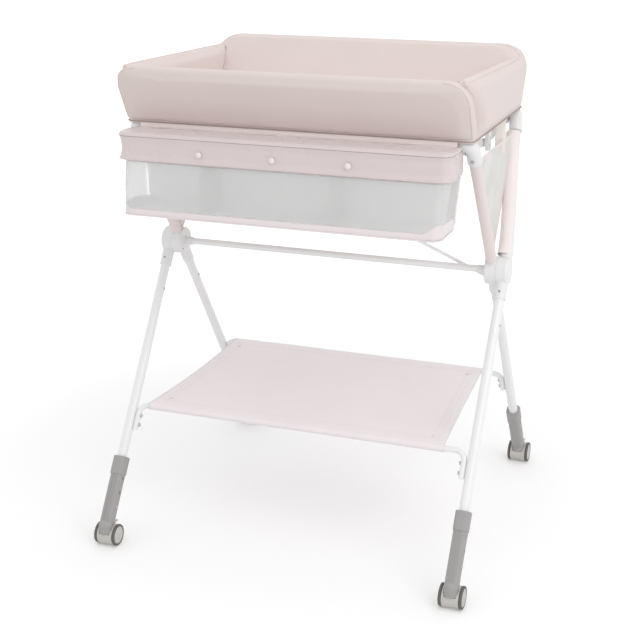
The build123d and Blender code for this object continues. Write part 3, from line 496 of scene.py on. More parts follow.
def ruffle(rows, height, scale, seed, edge_free=0.0):
    """Moves a grid's points by smooth noise along its normals, less near its edges."""
    points = np.array(rows, float)
    count_v, count_u = points.shape[:2]
    along_u = np.gradient(points, axis=1)
    along_v = np.gradient(points, axis=0)
    normal = np.cross(along_u, along_v)
    normal /= np.maximum(np.linalg.norm(normal, axis=2, keepdims=True), 1e-12)
    for v in range(count_v):
        for u in range(count_u):
            place = Vector(points[v, u]) * scale + Vector((seed, 0.37 * seed, 1.9 * seed))
            amount = noise.noise(place) + 0.5 * noise.noise(place * 2.3)
            keep = 1.0
            if edge_free:
                near = min(v, count_v - 1 - v) / max(1, count_v - 1)
                keep = min(1.0, near / edge_free)
            points[v, u] = points[v, u] + normal[v, u] * amount * height * keep
    return points


def joined(name, pieces):
    """One piece from several."""
    built = bmesh.new()
    materials = []
    for piece in pieces:
        start = len(built.faces)
        built.from_mesh(piece.data)
        built.faces.ensure_lookup_table()
        slots = []
        for material in piece.data.materials:
            if material not in materials:
                materials.append(material)
            slots.append(materials.index(material))
        for face in built.faces[start:]:
            face.material_index = slots[face.material_index] if slots else 0
    mesh = bpy.data.meshes.new(name)
    built.to_mesh(mesh)
    built.free()
    for piece in pieces:
        bpy.data.objects.remove(piece)
    result = link_mesh(name, mesh)
    for material in materials:
        mesh.materials.append(material)
    return result


# Geometry node trees ---------------------------------------------------------------------


def node_tree(name, inputs):
    """Geometry node tree with named inputs, and its helper."""
    tree = bpy.data.node_groups.new(name, "GeometryNodeTree")
    tree.interface.new_socket("Geometry", in_out="INPUT", socket_type="NodeSocketGeometry")
    add_inputs(tree, inputs)
    tree.interface.new_socket("Material", in_out="INPUT", socket_type="NodeSocketMaterial")
    tree.interface.new_socket("Geometry", in_out="OUTPUT", socket_type="NodeSocketGeometry")
    n = Nodes(tree)
    return tree, n, n.add("NodeGroupInput").outputs, n.add("NodeGroupOutput")


def end_tree(n, given, out, geometry):
    """Realize Instances and Set Material, the end of each tree."""
    real = n.put("GeometryNodeRealizeInstances", {"Geometry": geometry})
    painted = {"Geometry": real.outputs["Geometry"], "Material": given["Material"]}
    paint = n.put("GeometryNodeSetMaterial", painted)
    n.link(paint.outputs["Geometry"], out.inputs["Geometry"])


def even_curve(n, given, step):
    """The given edges as curves, with points at even steps."""
    curve = n.put("GeometryNodeMeshToCurve", {"Mesh": given["Geometry"]})
    values = {"Curve": curve.outputs["Curve"], "Length": given[step]}
    return n.put("GeometryNodeResampleCurve", values, mode="LENGTH").outputs["Curve"]


def round_skin(n, curve, radius, sides):
    """Round skin with closed ends along a curve."""
    circle = n.put("GeometryNodeCurvePrimitiveCircle", {"Resolution": sides, "Radius": radius})
    values = {"Fill Caps": True, "Curve": curve, "Profile Curve": circle.outputs["Curve"]}
    return n.put("GeometryNodeCurveToMesh", values).outputs["Mesh"]


def place_shapes(n, given, out, points, shape, facing, size):
    """Shapes on the points, turned to face along a direction and sized on three axes."""
    turn = n.put("FunctionNodeAlignRotationToVector", {"Vector": facing}, axis="Z")
    scale = n.put("ShaderNodeCombineXYZ", dict(enumerate(size)))
    values = {
        "Points": points,
        "Instance": shape,
        "Rotation": turn.outputs["Rotation"],
        "Scale": scale.outputs[0],
    }
    instances = n.put("GeometryNodeInstanceOnPoints", values)
    end_tree(n, given, out, instances.outputs["Instances"])


def point_facing(n):
    """The direction that stud_points() stored on each point."""
    found = n.put("GeometryNodeInputNamedAttribute", {"Name": "stud_normal"}, data_type="FLOAT_VECTOR")
    return found.outputs["Attribute"]


def piping_tree():
    """A round cord along each run of edges."""
    inputs = {"Radius": 1.5 * MM, "Sides": 8, "Step": 4 * MM}
    tree, n, given, out = node_tree("piping_run", inputs)
    skin = round_skin(n, even_curve(n, given, "Step"), given["Radius"], given["Sides"])
    smooth = n.put("GeometryNodeSetShadeSmooth", {"Geometry": skin})
    end_tree(n, given, out, smooth.outputs["Geometry"])
    return tree


def stitch_tree():
    """Stitches in a row along each run of edges."""
    inputs = {"Pitch": 4.2 * MM, "Length": 2.6 * MM, "Radius": 0.4 * MM}
    tree, n, given, out = node_tree("stitch_row", inputs)
    curve = even_curve(n, given, "Pitch")
    bead = n.put("GeometryNodeMeshUVSphere", {"Segments": 6, "Rings": 4, "Radius": given["Radius"]})
    stretch = n.math("DIVIDE", given["Length"], n.math("MULTIPLY", given["Radius"], 2.0))
    tangent = n.add("GeometryNodeInputTangent").outputs["Tangent"]
    place_shapes(n, given, out, curve, bead.outputs["Mesh"], tangent, (1.0, 1.0, stretch))
    return tree


def net_tree():
    """Thin strand along every edge of a lattice."""
    tree, n, given, out = node_tree("net_strands", {"Radius": 0.32 * MM})
    curve = n.put("GeometryNodeMeshToCurve", {"Mesh": given["Geometry"]})
    end_tree(n, given, out, round_skin(n, curve.outputs["Curve"], given["Radius"], 4))
    return tree


def stud_tree():
    """Domed press stud with a rolled rim on each point, facing along its normal."""
    inputs = {"Radius": 6 * MM, "Height": 2.2 * MM}
    tree, n, given, out = node_tree("press_stud", inputs)
    dome = n.put("GeometryNodeMeshUVSphere", {"Segments": 32, "Rings": 12, "Radius": 1.0})
    values = {"Scale": (0.78, 0.78, 0.9), "Geometry": dome.outputs["Mesh"]}
    shape = n.put("GeometryNodeTransform", values)
    ring = n.put("GeometryNodeCurvePrimitiveCircle", {"Resolution": 32, "Radius": 0.86})
    section = n.put("GeometryNodeCurvePrimitiveCircle", {"Resolution": 8, "Radius": 0.14})
    values = {"Curve": ring.outputs["Curve"], "Profile Curve": section.outputs["Curve"]}
    rim = n.put("GeometryNodeCurveToMesh", values)
    both = n.put("GeometryNodeJoinGeometry", {"Geometry": shape.outputs["Geometry"]})
    n.link(rim.outputs["Mesh"], both.inputs["Geometry"])
    smooth = n.put("GeometryNodeSetShadeSmooth", {"Geometry": both.outputs["Geometry"]})
    size = (given["Radius"], given["Radius"], given["Height"])
    shape = smooth.outputs["Geometry"]
    place_shapes(n, given, out, given["Geometry"], shape, point_facing(n), size)
    return tree


def cross_tree():
    """Raised cross on each point, facing along its direction; in the dark finish it is painted shade for a
    screw's cross recess.
    """
    inputs = {"Size": 3 * MM, "Rise": 0.7 * MM}
    tree, n, given, out = node_tree("screw_cross", inputs)
    both = n.add("GeometryNodeJoinGeometry")
    for scale in ((1.0, 0.24, 1.0), (0.24, 1.0, 1.0)):
        bar = n.put("GeometryNodeMeshCube", {"Size": scale})
        n.link(bar.outputs["Mesh"], both.inputs["Geometry"])
    size = (given["Size"], given["Size"], n.math("MULTIPLY", given["Rise"], 2.0))
    shape = both.outputs["Geometry"]
    place_shapes(n, given, out, given["Geometry"], shape, point_facing(n), size)
    return tree


TREES = {}


def make_trees():
    TREES.update(
        piping=piping_tree(), stitches=stitch_tree(), net=net_tree(), stud=stud_tree(), cross=cross_tree()
    )


def run_tree(name, tree, mesh, finish, **values):
    """Runs a tree on a mesh once and keeps the result as a plain mesh piece."""
    source = bpy.data.objects.new(name + "_source", mesh)
    bpy.context.scene.collection.objects.link(source)
    modifier = source.modifiers.new("Make", "NODES")
    modifier.node_group = TREES[tree]
    for item in TREES[tree].interface.items_tree:
        if item.item_type != "SOCKET" or item.in_out != "INPUT":
            continue
        if item.name == "Material":
            modifier[item.identifier] = FINISHES[finish]
        elif item.name in values:
            modifier[item.identifier] = values[item.name]
    graph = bpy.context.evaluated_depsgraph_get()
    graph.update()
    made = bpy.data.meshes.new_from_object(source.evaluated_get(graph), depsgraph=graph)
    made.name = name
    bpy.data.objects.remove(source)
    piece = bpy.data.objects.new(name, made)
    bpy.context.scene.collection.objects.link(piece)
    return piece


def runs_mesh(name, runs):
    """Edges only: one chain for each run of points."""
    points, edges = [], []
    for run in runs:
        start = len(points)
        points += [tuple(p) for p in run]
        edges += [(start + i, start + i + 1) for i in range(len(run) - 1)]
    return new_mesh(name, points, [], edges)


PIPING_SIDES = 8
STITCH_R = 0.38 * MM


def piping(name, runs, finish, radius=None, step=4 * MM):
    """Round cord along runs of points, as thick as the pad's piping unless a radius is given."""
    values = {"Radius": sizes().piping if radius is None else radius, "Step": step}
    return run_tree(name, "piping", runs_mesh(name, runs), finish, Sides=PIPING_SIDES, **values)


def stitches(name, runs):
    """Stitches along runs of points."""
    s = sizes()
    values = {"Pitch": s.pitch, "Length": s.stitch, "Radius": STITCH_R}
    return run_tree(name, "stitches", runs_mesh(name, runs), "thread", **values)


def finish_piece(piece, body, slot, *nodes):
    """Rides on its body and stands for its nodes; the slot is not used."""
    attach(piece, body)
    if nodes:
        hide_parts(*nodes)
    return piece


def declare_sheet(rows):
    """Works out the width, depth and area of a sheet's cut, measured along and across its grid; nothing is
    kept.
    """
    points = np.array(rows)
    wide = np.linalg.norm(np.diff(points, axis=1), axis=2)
    tall = np.linalg.norm(np.diff(points, axis=0), axis=2)
    width, depth = float(wide.sum(1).max()), float(tall.sum(0).max())
    area = float((0.5 * (wide[:-1] + wide[1:]) * 0.5 * (tall[:, :-1] + tall[:, 1:])).sum())
    area = min(width * depth, max(0.3 * width * depth, area))


def finish_folding(piece, slot, *nodes, low=False):
    """Bakes the piece's place into its mesh and hides its nodes, for pieces between the rails or by the
    shelf's bars.
    """
    if low:
        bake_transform(piece)
    else:
        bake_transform(piece)
    if nodes:
        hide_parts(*nodes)
    return piece


# Pad -------------------------------------------------------------------------------------


def node_copy(name, node):
    """Copy of a CAD node, to start a soft piece from."""
    built = bmesh.new()
    built.from_mesh(frame["nodes"][node].data)
    bmesh.ops.remove_doubles(built, verts=built.verts, dist=0.02 * MM)
    mesh = bpy.data.meshes.new(name)
    built.to_mesh(mesh)
    built.free()
    return link_mesh(name, mesh, "pad")


def spread(piece, amount):
    """Moves each point outwards, so that the smoothed padding is back at its size."""
    for vertex, normal in zip(piece.data.vertices, [v.normal.copy() for v in piece.data.vertices]):
        vertex.co += normal * amount


WALL_FOOT = 34 * MM         # thickness of the walls at their foot and near their top
WALL_TOP = 24 * MM
REAR_WALL_Y = 120 * MM      # the rear wall lies behind this
PAD_WIDEN = 6 * MM          # how far the foam pushes each end of the pad out
REAR_SINK = 0.075           # share of the walls' height that the rear of the pad sinks by
END_SINK = 0.14             # the same for the two end walls
FOOT_DROP = 4 * MM          # how far the walls' lower edges hang over the rails
REAR_CORNER_R = 58 * MM


def settled(point, sink=REAR_SINK):
    """Where a point of the pad comes to rest: ends pushed out, rear sunk, rear corners rounder."""
    x, y, z = point
    x *= 1 + PAD_WIDEN / PAD_HIGH.x
    share = clamp((y - PAD_LOW.y) / (PAD_HIGH.y - PAD_LOW.y))
    outer = max(abs(x) - FLOOR_HIGH.x, y - FLOOR_HIGH.y, FLOOR_LOW.y - y)
    hem = clamp(outer / WALL_FOOT) * (1 - (z - PAD_LOW.z) / (PAD_HIGH.z - PAD_LOW.z))
    z = PAD_LOW.z + (z - PAD_LOW.z) * (1 - sink * share) - FOOT_DROP * hem
    if y > REAR_WALL_Y:
        top = PAD_LOW.z + (PAD_HIGH.z - PAD_LOW.z) * (1 - REAR_SINK)
        across = abs(x) - (PAD_HIGH.x + PAD_WIDEN - REAR_CORNER_R)
        up = z - (top - REAR_CORNER_R)
        reach = math.hypot(across, up)
        if across > 0 and up > 0 and reach > REAR_CORNER_R:
            pull = 1 - REAR_CORNER_R / reach
            x -= math.copysign(across * pull, x)
            z -= up * pull
    return Vector((x, y, z))


PRESSURE = 4.0


def puff(piece, cap):
    """Swells a closed piece with a short cloth simulation, which only moves it outwards."""
    scene = bpy.context.scene
    rest = [v.co.copy() for v in piece.data.vertices]
    normals = [v.normal.copy() for v in piece.data.vertices]
    cloth = piece.modifiers.new("Swell", "CLOTH")
    settings = cloth.settings
    settings.quality = 6
    settings.mass = 0.2
    settings.tension_stiffness = settings.compression_stiffness = 12
    settings.shear_stiffness = 8
    settings.bending_stiffness = 0.6
    settings.use_pressure = True
    settings.uniform_pressure_force = PRESSURE
    settings.effector_weights.gravity = 0
    cloth.collision_settings.use_collision = False
    cloth.collision_settings.use_self_collision = False
    for number in range(1, 21):
        scene.frame_set(number)
    graph = bpy.context.evaluated_depsgraph_get()
    moved = [v.co.copy() for v in piece.evaluated_get(graph).data.vertices]
    piece.modifiers.clear()
    scene.frame_set(1)
    for vertex, start, end, normal in zip(piece.data.vertices, rest, moved, normals):
        rise = min(cap, (end - start).dot(normal))
        down = max(0.0, -normal.z)
        vertex.co = start + normal * max(0.0, rise) * (1 - down)


def even_out(piece, repeat):
    """Smooths a piece's surface."""
    relax = piece.modifiers.new("Even", "SMOOTH")
    relax.factor = 0.5
    relax.iterations = repeat
    apply_modifiers(piece)


def padded_piece(name, node, cap, sink=REAR_SINK):
    """Stuffed cloth shape grown from CAD nodes."""
    piece = node_copy(name, node)
    remesh = piece.modifiers.new("Cells", "REMESH")
    remesh.mode = "VOXEL"
    remesh.voxel_size = sizes().voxel
    apply_modifiers(piece)
    even_out(piece, 9)
    for vertex in piece.data.vertices:
        vertex.co = settled(vertex.co, sink)
    spread(piece, 1.4 * MM)
    puff(piece, cap)
    even_out(piece, 2)
    smooth_more(piece)
    box_uv(piece.data)
    piece.data.materials.clear()
    piece.data.materials.append(FINISHES["pad"])
    return piece


def surface_of(piece):
    """Search tree of the piece's faces."""
    built = bmesh.new()
    built.from_mesh(piece.data)
    tree = BVHTree.FromBMesh(built)
    built.free()
    return tree


def laid_on(surface, run, lift, sink=REAR_SINK):
    """The run's points moved onto the surface and lifted a little from it."""
    result = []
    for point in run:
        place, normal, _, _ = surface.find_nearest(settled(point, sink))
        result.append(place + normal * lift)
    return result


CORNER_R = 44 * MM       # rounded top corners of the front and rear walls


def wall_end_run(side, rear, inner):
    """Edge of a front or rear wall's end: up the end, round the corner and along its top."""
    if rear:
        top_z, foot_y, top_y, out = PAD_HIGH.z, PAD_HIGH.y - 58 * MM, PAD_HIGH.y, -1
    else:
        top_z, foot_y, top_y, out = ENDS_HIGH.z, PAD_LOW.y + 55 * MM, PAD_LOW.y, 1
    half = PAD_HIGH.x
    run = []
    for i in range(14):
        run.append((half, PAD_LOW.z + 4 * MM + (top_z - CORNER_R - PAD_LOW.z - 4 * MM) * i / 13))
    for i in range(1, 10):
        turn = math.radians(10 * i)
        run.append((half - CORNER_R * (1 - math.cos(turn)), top_z - CORNER_R * (1 - math.sin(turn))))
    if inner:
        foot_y, top_y = foot_y + out * WALL_FOOT, top_y + out * WALL_TOP
    points = []
    for x, z in run:
        share = (z - PAD_LOW.z) / (top_z - PAD_LOW.z)
        points.append((side * x, foot_y + (top_y - foot_y) * share, z))
    return points


def inner_corner(side, front):
    """Sewn corner between an end wall and the front or rear wall, from the floor up."""
    if front:
        foot_y, top_y = FLOOR_LOW.y, ENDS_LOW.y + 20 * MM
    else:
        foot_y, top_y = FLOOR_HIGH.y, ENDS_HIGH.y - 20 * MM
    run = []
    for i in range(25):
        share = i / 24
        z = FLOOR_HIGH.z + (ENDS_HIGH.z - 4 * MM - FLOOR_HIGH.z) * share
        x = FLOOR_HIGH.x + 7 * MM * share
        run.append((side * x, foot_y + (top_y - foot_y) * share, z))
    return run


WELT_FRONT_Y = -212.5 * MM
WELT_RISE, WELT_DROP = 7 * MM, 8.5 * MM     # how far the welt reaches over and under the walls' edge


def pad_welt():
    """Folded strip of cover cloth under the edge of the walls."""
    x, y1 = PAD_HIGH.x + PAD_WIDEN + 0.5 * MM, FLOOR_HIGH.y + 35 * MM
    top, foot = PAD_LOW.z + WELT_RISE, PAD_LOW.z - WELT_DROP
    ring = np.array(rounded_path(x, WELT_FRONT_Y, y1, 10 * MM, True))
    normal = ring_normals(ring)
    rows = []
    for share in spaced(0, 1, 9):
        inset = 4 * MM * share**2 + 1.5 * MM * (1 - share) ** 3
        rows.append([(px, py, foot + (top - foot) * share) for px, py in ring - normal * inset])
    strip = grid_piece("pad_welt", ruffle(rows, 0.5 * MM, 26, 2.6), "pad", closed_u=True)
    thicken(strip, 2.2 * MM)
    # A thin dark cord just under the walls' foot: painted shadow where the walls overhang the welt.
    line = [(px, py, PAD_LOW.z - 4.6 * MM) for px, py in ring + normal * 1.6 * MM]
    seam = piping("pad_foot_painted_shadow", [line + line[:1]], "seam", radius=1.0 * MM)
    return smooth_more(strip), seam


class CHANGING_OT_pad(bpy.types.Operator):
    """Padded floor and the four swollen walls round it"""

    bl_idname = "changing.pad"
    bl_label = "Pad"

    def execute(self, context):
        s = sizes()
        walls = padded_piece("pad_front_rear_walls", "pad_side_walls", s.swell)
        ends = padded_piece("pad_left_right_walls", "pad_end_walls", s.swell, sink=END_SINK)
        floor = padded_piece("pad_mattress", "pad_floor", 0.8 * s.swell)
        nodes = {walls: "pad_side_walls", ends: "pad_end_walls", floor: "pad_floor"}
        surface = surface_of(walls)
        runs = []
        for side in (-1, 1):
            for rear in (False, True):
                for inner in (False, True):
                    runs.append(laid_on(surface, wall_end_run(side, rear, inner), 0.3 * MM))
        seams = piping("pad_wall_piping", runs, "pad")
        ends_surface = surface_of(ends)
        runs = []
        for side in (-1, 1):
            for inset in (5 * MM, 19 * MM):
                x = side * (ENDS_HIGH.x - inset)
                y0, y1 = ENDS_LOW.y + 10 * MM, ENDS_HIGH.y - 12 * MM
                line = [(x, y0 + (y1 - y0) * i / 60, ENDS_HIGH.z) for i in range(61)]
                runs.append(laid_on(ends_surface, line, 0.1 * MM, END_SINK))
        tops = piping("pad_end_piping", runs, "pad", radius=1.2 * MM)
        runs = []
        for side in (-1, 1):
            for front in (True, False):
                runs.append(laid_on(ends_surface, inner_corner(side, front), 0.5 * MM, END_SINK))
        # Cords along the sewn inner corners in the dark seam finish: real seams, with painted shade for
        # the crease where the walls meet.
        corners = piping("pad_corner_seam_shade", runs, "seam", radius=1.1 * MM)
        finish_folding(corners, "pad_cover")
        welt, line = pad_welt()
        finish_folding(welt, "pad_cover")
        finish_folding(line, "pad_cover")
        for piece, node in nodes.items():
            finish_folding(piece, "pad_cover", node)
        finish_folding(seams, "pad_cover")
        finish_folding(tops, "pad_cover")
        return {"FINISHED"}


# Organiser -------------------------------------------------------------------------------


def rounded_path(x, y0, y1, radius, closed, step=6 * MM):
    """Plan outline of the organiser, from the back left corner round the front to the right."""
    points = []

    def arc(cx, cy, start):
        for i in range(9):
            a = math.radians(start + 90 * i / 8)
            points.append((cx + radius * math.cos(a), cy + radius * math.sin(a)))

    def line(a, b):
        count = max(2, int(math.dist(a, b) / step))
        for i in range(1, count):
            points.append((a[0] + (b[0] - a[0]) * i / count, a[1] + (b[1] - a[1]) * i / count))

    start_y = y1 - radius if closed else y1
    points.append((-x, start_y))
    line((-x, start_y), (-x, y0 + radius))
    arc(-x + radius, y0 + radius, 180)
    line((-x + radius, y0), (x - radius, y0))
    arc(x - radius, y0 + radius, 270)
    line((x, y0 + radius), (x, start_y))
    if closed:
        arc(x - radius, y1 - radius, 0)
        line((x - radius, y1), (-x + radius, y1))
        arc(-x + radius, y1 - radius, 90)
        points.pop()
    else:
        points.append((x, y1))
    return points


def ring_normals(plan):
    """Outward directions along a plan outline."""
    along = np.gradient(plan, axis=0)
    normal = np.stack([along[:, 1], -along[:, 0]], axis=1)
    return normal / np.linalg.norm(normal, axis=1, keepdims=True)


def band_rows(path, heights, bulge=0.0):
    """Rows of points up a wall over a plan outline, bulged between its edges."""
    low, high = heights[0], heights[-1]
    plan = np.array(path)
    normal = ring_normals(plan)
    rows = []
    for z in heights:
        share = (z - low) / max(high - low, 1e-9)
        push = bulge * math.sin(math.pi * share)
        out = plan + normal * push
        rows.append([(x, y, z) for x, y in out])
    return rows


BASKET_R = 19 * MM
HANG_FORWARD = 17 * MM      # how far the bag's bottom hangs out in front of its rim
HANG_INWARD = (3 * MM, 11 * MM)     # how far its left and right ends draw in


def hang(point):
    """Where a point of the straight bag goes as its bottom swings out and its ends draw in."""
    x, y, z = point
    low = clamp((WINDOW_HIGH.z - z) / (WINDOW_HIGH.z - BASKET_LOW.z))
    low = low ** 0.8
    front = clamp((BASKET_HIGH.y - y) / (BASKET_HIGH.y - BASKET_LOW.y))
    share = min(1.0, abs(x) / BASKET_HIGH.x) ** 3
    inward = HANG_INWARD[1] * share if x > 0 else -HANG_INWARD[0] * share
    return x - inward * low, y - HANG_FORWARD * low * front, z


def hung(piece):
    """The piece with each point moved by hang()."""
    for vertex in piece.data.vertices:
        vertex.co = hang(vertex.co)
    return piece


RIGHT_TAB = (286 * MM, 30 * MM, 17 * MM)    # where the band starts to rise, over what run, and by how much
LEFT_TAB = (306 * MM, 14 * MM, 9 * MM)


def corner_rise(x, y):
    """How much higher the bag's lower band stands at its corners."""
    rise = 0.0
    for out, (start, run, height) in ((x, RIGHT_TAB), (-x, LEFT_TAB)):
        share = clamp((out - start) / run)
        rise += height * share * share * (3 - 2 * share)
    back = clamp((BASKET_HIGH.y - y) / (40 * MM))
    return rise * back


class CHANGING_OT_basket(bpy.types.Operator):
    """Organiser basket: floor, bands, back, clear strip, piping and stitches"""

    bl_idname = "changing.basket"
    bl_label = "Organiser basket"

    def execute(self, context):
        x, y0, y1 = BASKET_HIGH.x - 1.2 * MM, BASKET_LOW.y + 1.2 * MM, BASKET_HIGH.y - 1.2 * MM
        low, high = BASKET_LOW.z + 0.8 * MM, BASKET_HIGH.z
        ring = rounded_path(x, y0, y1, BASKET_R, True)
        open_path = rounded_path(x, y0, y1 - 3 * MM, BASKET_R, False)
        parts = []
        lower = band_rows(ring, spaced(low + 2 * MM, WINDOW_LOW.z + 3 * MM, 7), 0.6 * MM)
        lower = [
            [(px, py, z + corner_rise(px, py) * i / 6) for px, py, z in row] for i, row in enumerate(lower)
        ]
        parts.append(grid_piece("lower", ruffle(lower, 0.5 * MM, 30, 3.1), "band", closed_u=True))
        rim = band_rows(open_path, spaced(WINDOW_HIGH.z - 3 * MM, high - 2 * MM, 9), 0.4 * MM)
        parts.append(grid_piece("rim", ruffle(rim, 0.5 * MM, 30, 5.7), "satin"))
        back_rows = []
        for z in spaced(low + 2 * MM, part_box("organiser_dividers")[1].z + 38 * MM, 20):
            back_rows.append([(px, y1, z) for px in spaced(-x + 3 * MM, x - 3 * MM, 100)])
        # The back and the bottom take the near-white lining, partly painted light for the shaded inside.
        parts.append(grid_piece("back", ruffle(back_rows, 0.9 * MM, 18, 8.3), "lining"))
        bottom_rows = []
        for py in spaced(y0 + 1 * MM, y1 - 1 * MM, 16):
            inset = 0.0
            for end_y in (y0, y1):
                depth = BASKET_R - abs(py - end_y)
                if depth > 0:
                    inset = BASKET_R - math.sqrt(max(0.0, BASKET_R**2 - depth**2))
            edge = x - 1 * MM - inset
            bottom_rows.append([(px, py, low + 0.4 * MM) for px in spaced(-edge, edge, 100)])
        parts.append(grid_piece("bottom", bottom_rows, "lining"))
        for part in parts:
            thicken(part, 1.5 * MM)
        basket = hung(joined("organiser_fabric", parts))
        finish_piece(basket, "rear_frame", "pink_fabric", "organiser_basket")

        film_rows = band_rows(open_path, spaced(WINDOW_LOW.z, WINDOW_HIGH.z, 17), 0.5 * MM)
        film = grid_piece("organiser_clear_strip", ruffle(film_rows, 0.8 * MM, 14, 2.2), "film")
        thicken(hung(film), 0.6 * MM)
        declare_sheet(film_rows)
        finish_piece(film, "rear_frame", "clear", "organiser_windows")

        edge = rounded_path(x + 1 * MM, y0 - 1 * MM, y1 + 1 * MM, BASKET_R + 1 * MM, True)
        loop = [(px, py, low + 1.2 * MM) for px, py in edge]
        cord = hung(piping("organiser_piping", [loop + loop[:1]], "band", radius=1.3 * MM))
        finish_piece(cord, "rear_frame", "pink_fabric")
        outer = rounded_path(x + 0.9 * MM, y0 - 0.9 * MM, y1 - 3 * MM, BASKET_R + 0.9 * MM, False)
        seam = [(px, py, WINDOW_LOW.z + 1.6 * MM + corner_rise(px, py)) for px, py in outer]
        rows = hung(stitches("organiser_stitches", [seam]))
        finish_piece(rows, "rear_frame", "pink_fabric")
        return {"FINISHED"}


def lattice(name, corners, cell, wave, seed):
    """Edges of a diamond lattice on a four-cornered patch."""
    a, b, c, d = [Vector(p) for p in corners]
    wide = max((b - a).length, (c - d).length)
    tall = max((d - a).length, (c - b).length)
    nu, nv = max(2, round(wide / cell)), max(2, round(tall / cell))
    normal = (b - a).cross(d - a).normalized()

    def at(u, v):
        point = (a * (1 - u) + b * u) * (1 - v) + (d * (1 - u) + c * u) * v
        return point + normal * wave * noise.noise(point * 16 + Vector((seed, 0, 0)))

    points, index, edges = [], {}, []

    def number(i, j):
        if (i, j) not in index:
            index[i, j] = len(points)
            points.append(at(i / (2 * nu), j / (2 * nv)))
        return index[i, j]

    for i in range(nu):
        for j in range(nv):
            left, right = number(2 * i, 2 * j + 1), number(2 * i + 2, 2 * j + 1)
            low, high = number(2 * i + 1, 2 * j), number(2 * i + 1, 2 * j + 2)
            edges += [(left, low), (low, right), (right, high), (high, left)]
    return new_mesh(name, points, [], edges)


class CHANGING_OT_dividers(bpy.types.Operator):
    """Net dividers of the organiser, bound along their edges"""

    bl_idname = "changing.dividers"
    bl_label = "Organiser dividers"

    def execute(self, context):
        s = sizes()
        low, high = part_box("organiser_dividers")
        nets, bindings = [], []
        xs = (low.x + 0.8 * MM, high.x - 0.8 * MM)
        for number, x in enumerate(xs):
            corners = [(x, low.y, low.z), (x, high.y, low.z), (x, high.y, high.z), (x, low.y, high.z)]
            mesh = lattice("divider", corners, 0.9 * s.net_cell, 2.5 * MM, 3.0 * number)
            nets.append(run_tree("divider_net", "net", mesh, "gauze", Radius=1.9 * s.strand))
            inset = 1.5 * MM
            frame_run = [
                (x, low.y + inset, high.z),
                (x, low.y + inset, low.z + inset),
                (x, high.y - inset, low.z + inset),
                (x, high.y - inset, high.z),
                (x, low.y + inset, high.z),
            ]
            bindings.append(piping("divider_binding", [frame_run], "gauze", radius=1.6 * MM, step=8 * MM))
        piece = hung(joined("organiser_nets", nets + bindings))
        finish_piece(piece, "rear_frame", "mesh", "organiser_dividers")
        return {"FINISHED"}


DROP_ROWS = 12
LID_LEFT_REACH = 8 * MM     # how far the lid's loose left end stands out


def lid_grid():
    """Rows from the hinge over the top edge and down the drop, along the rim."""
    x, y0, y1 = LID_HIGH.x - 0.8 * MM, LID_LOW.y + 0.8 * MM, LID_HIGH.y - 0.4 * MM
    radius = BASKET_R + 3 * MM
    rim = rounded_path(x, y0, y1, radius, False)
    top, drop = LID_HIGH.z - 0.8 * MM, WINDOW_HIGH.z
    roll = 6.5 * MM
    return_y = y1 - 14 * MM
    rows = []
    plan = np.array(rim)
    normal = ring_normals(plan)
    inner = []
    for (px, py), n in zip(plan, normal):
        inner.append((px - n[0] * roll, py - n[1] * roll))
    hinge = [(max(-x + roll, min(x - roll, px * 0.999)), y1) for px, _ in inner]
    for i in range(9):
        share = i / 9
        row = []
        for (hx, hy), (ix, iy) in zip(hinge, inner):
            px, py = hx + (ix - hx) * share, hy + (iy - hy) * share
            crown = 1.1 * MM * math.sin(math.pi * share)
            slack = -0.8 * MM * (1 - share)
            row.append((px, py, top - 0.9 * MM + crown * 0.5 + slack))
        rows.append(row)
    for i in range(7):
        turn = math.radians(90 * i / 6)
        row = []
        for (ix, iy), n in zip(inner, normal):
            out = roll * math.sin(turn)
            row.append((ix + n[0] * out, iy + n[1] * out, top - roll * (1 - math.cos(turn))))
        rows.append(row)
    for i in range(1, DROP_ROWS + 1):
        share = i / DROP_ROWS
        row = []
        for (px, py), n in zip(plan, normal):
            back = clamp((return_y - py) / (26 * MM))
            back = math.sqrt(1 - (1 - back) ** 2)
            low = top - roll - 4 * MM + (drop - top + roll + 4 * MM) * back
            z = top - roll + (low - (top - roll)) * share
            hollow = 4.2 * MM * math.sin(math.pi * share) ** 0.8 - 1.2 * MM * share**3
            row.append((px - n[0] * hollow, py - n[1] * hollow, z))
        rows.append(row)
    return rows


def hinge_strip():
    """Cloth from the front rail's sleeve down to the lid's rear edge, its soft hinge."""
    y, z = LID_HIGH.y, LID_HIGH.z
    section = [
        (1.5, 10.5), (-1.5, 9.6), (-3.8, 7.0), (-4.9, 3.5), (-5.2, 0.8), (-6.4, -0.4), (-9.0, -0.9),
        (-14.0, -1.1),
    ]
    half = LID_HIGH.x - 9 * MM
    rows = []
    for dy, dz in section:
        rows.append([(x, y + dy * MM, z + dz * MM) for x in spaced(-half, half, 130)])
    rows = ruffle(rows, 0.35 * MM, 30, 7.3)
    strip = grid_piece("organiser_hinge_strip", rows, "cloth")
    declare_sheet(rows)
    return smooth_more(thicken(strip, 1.1 * MM))


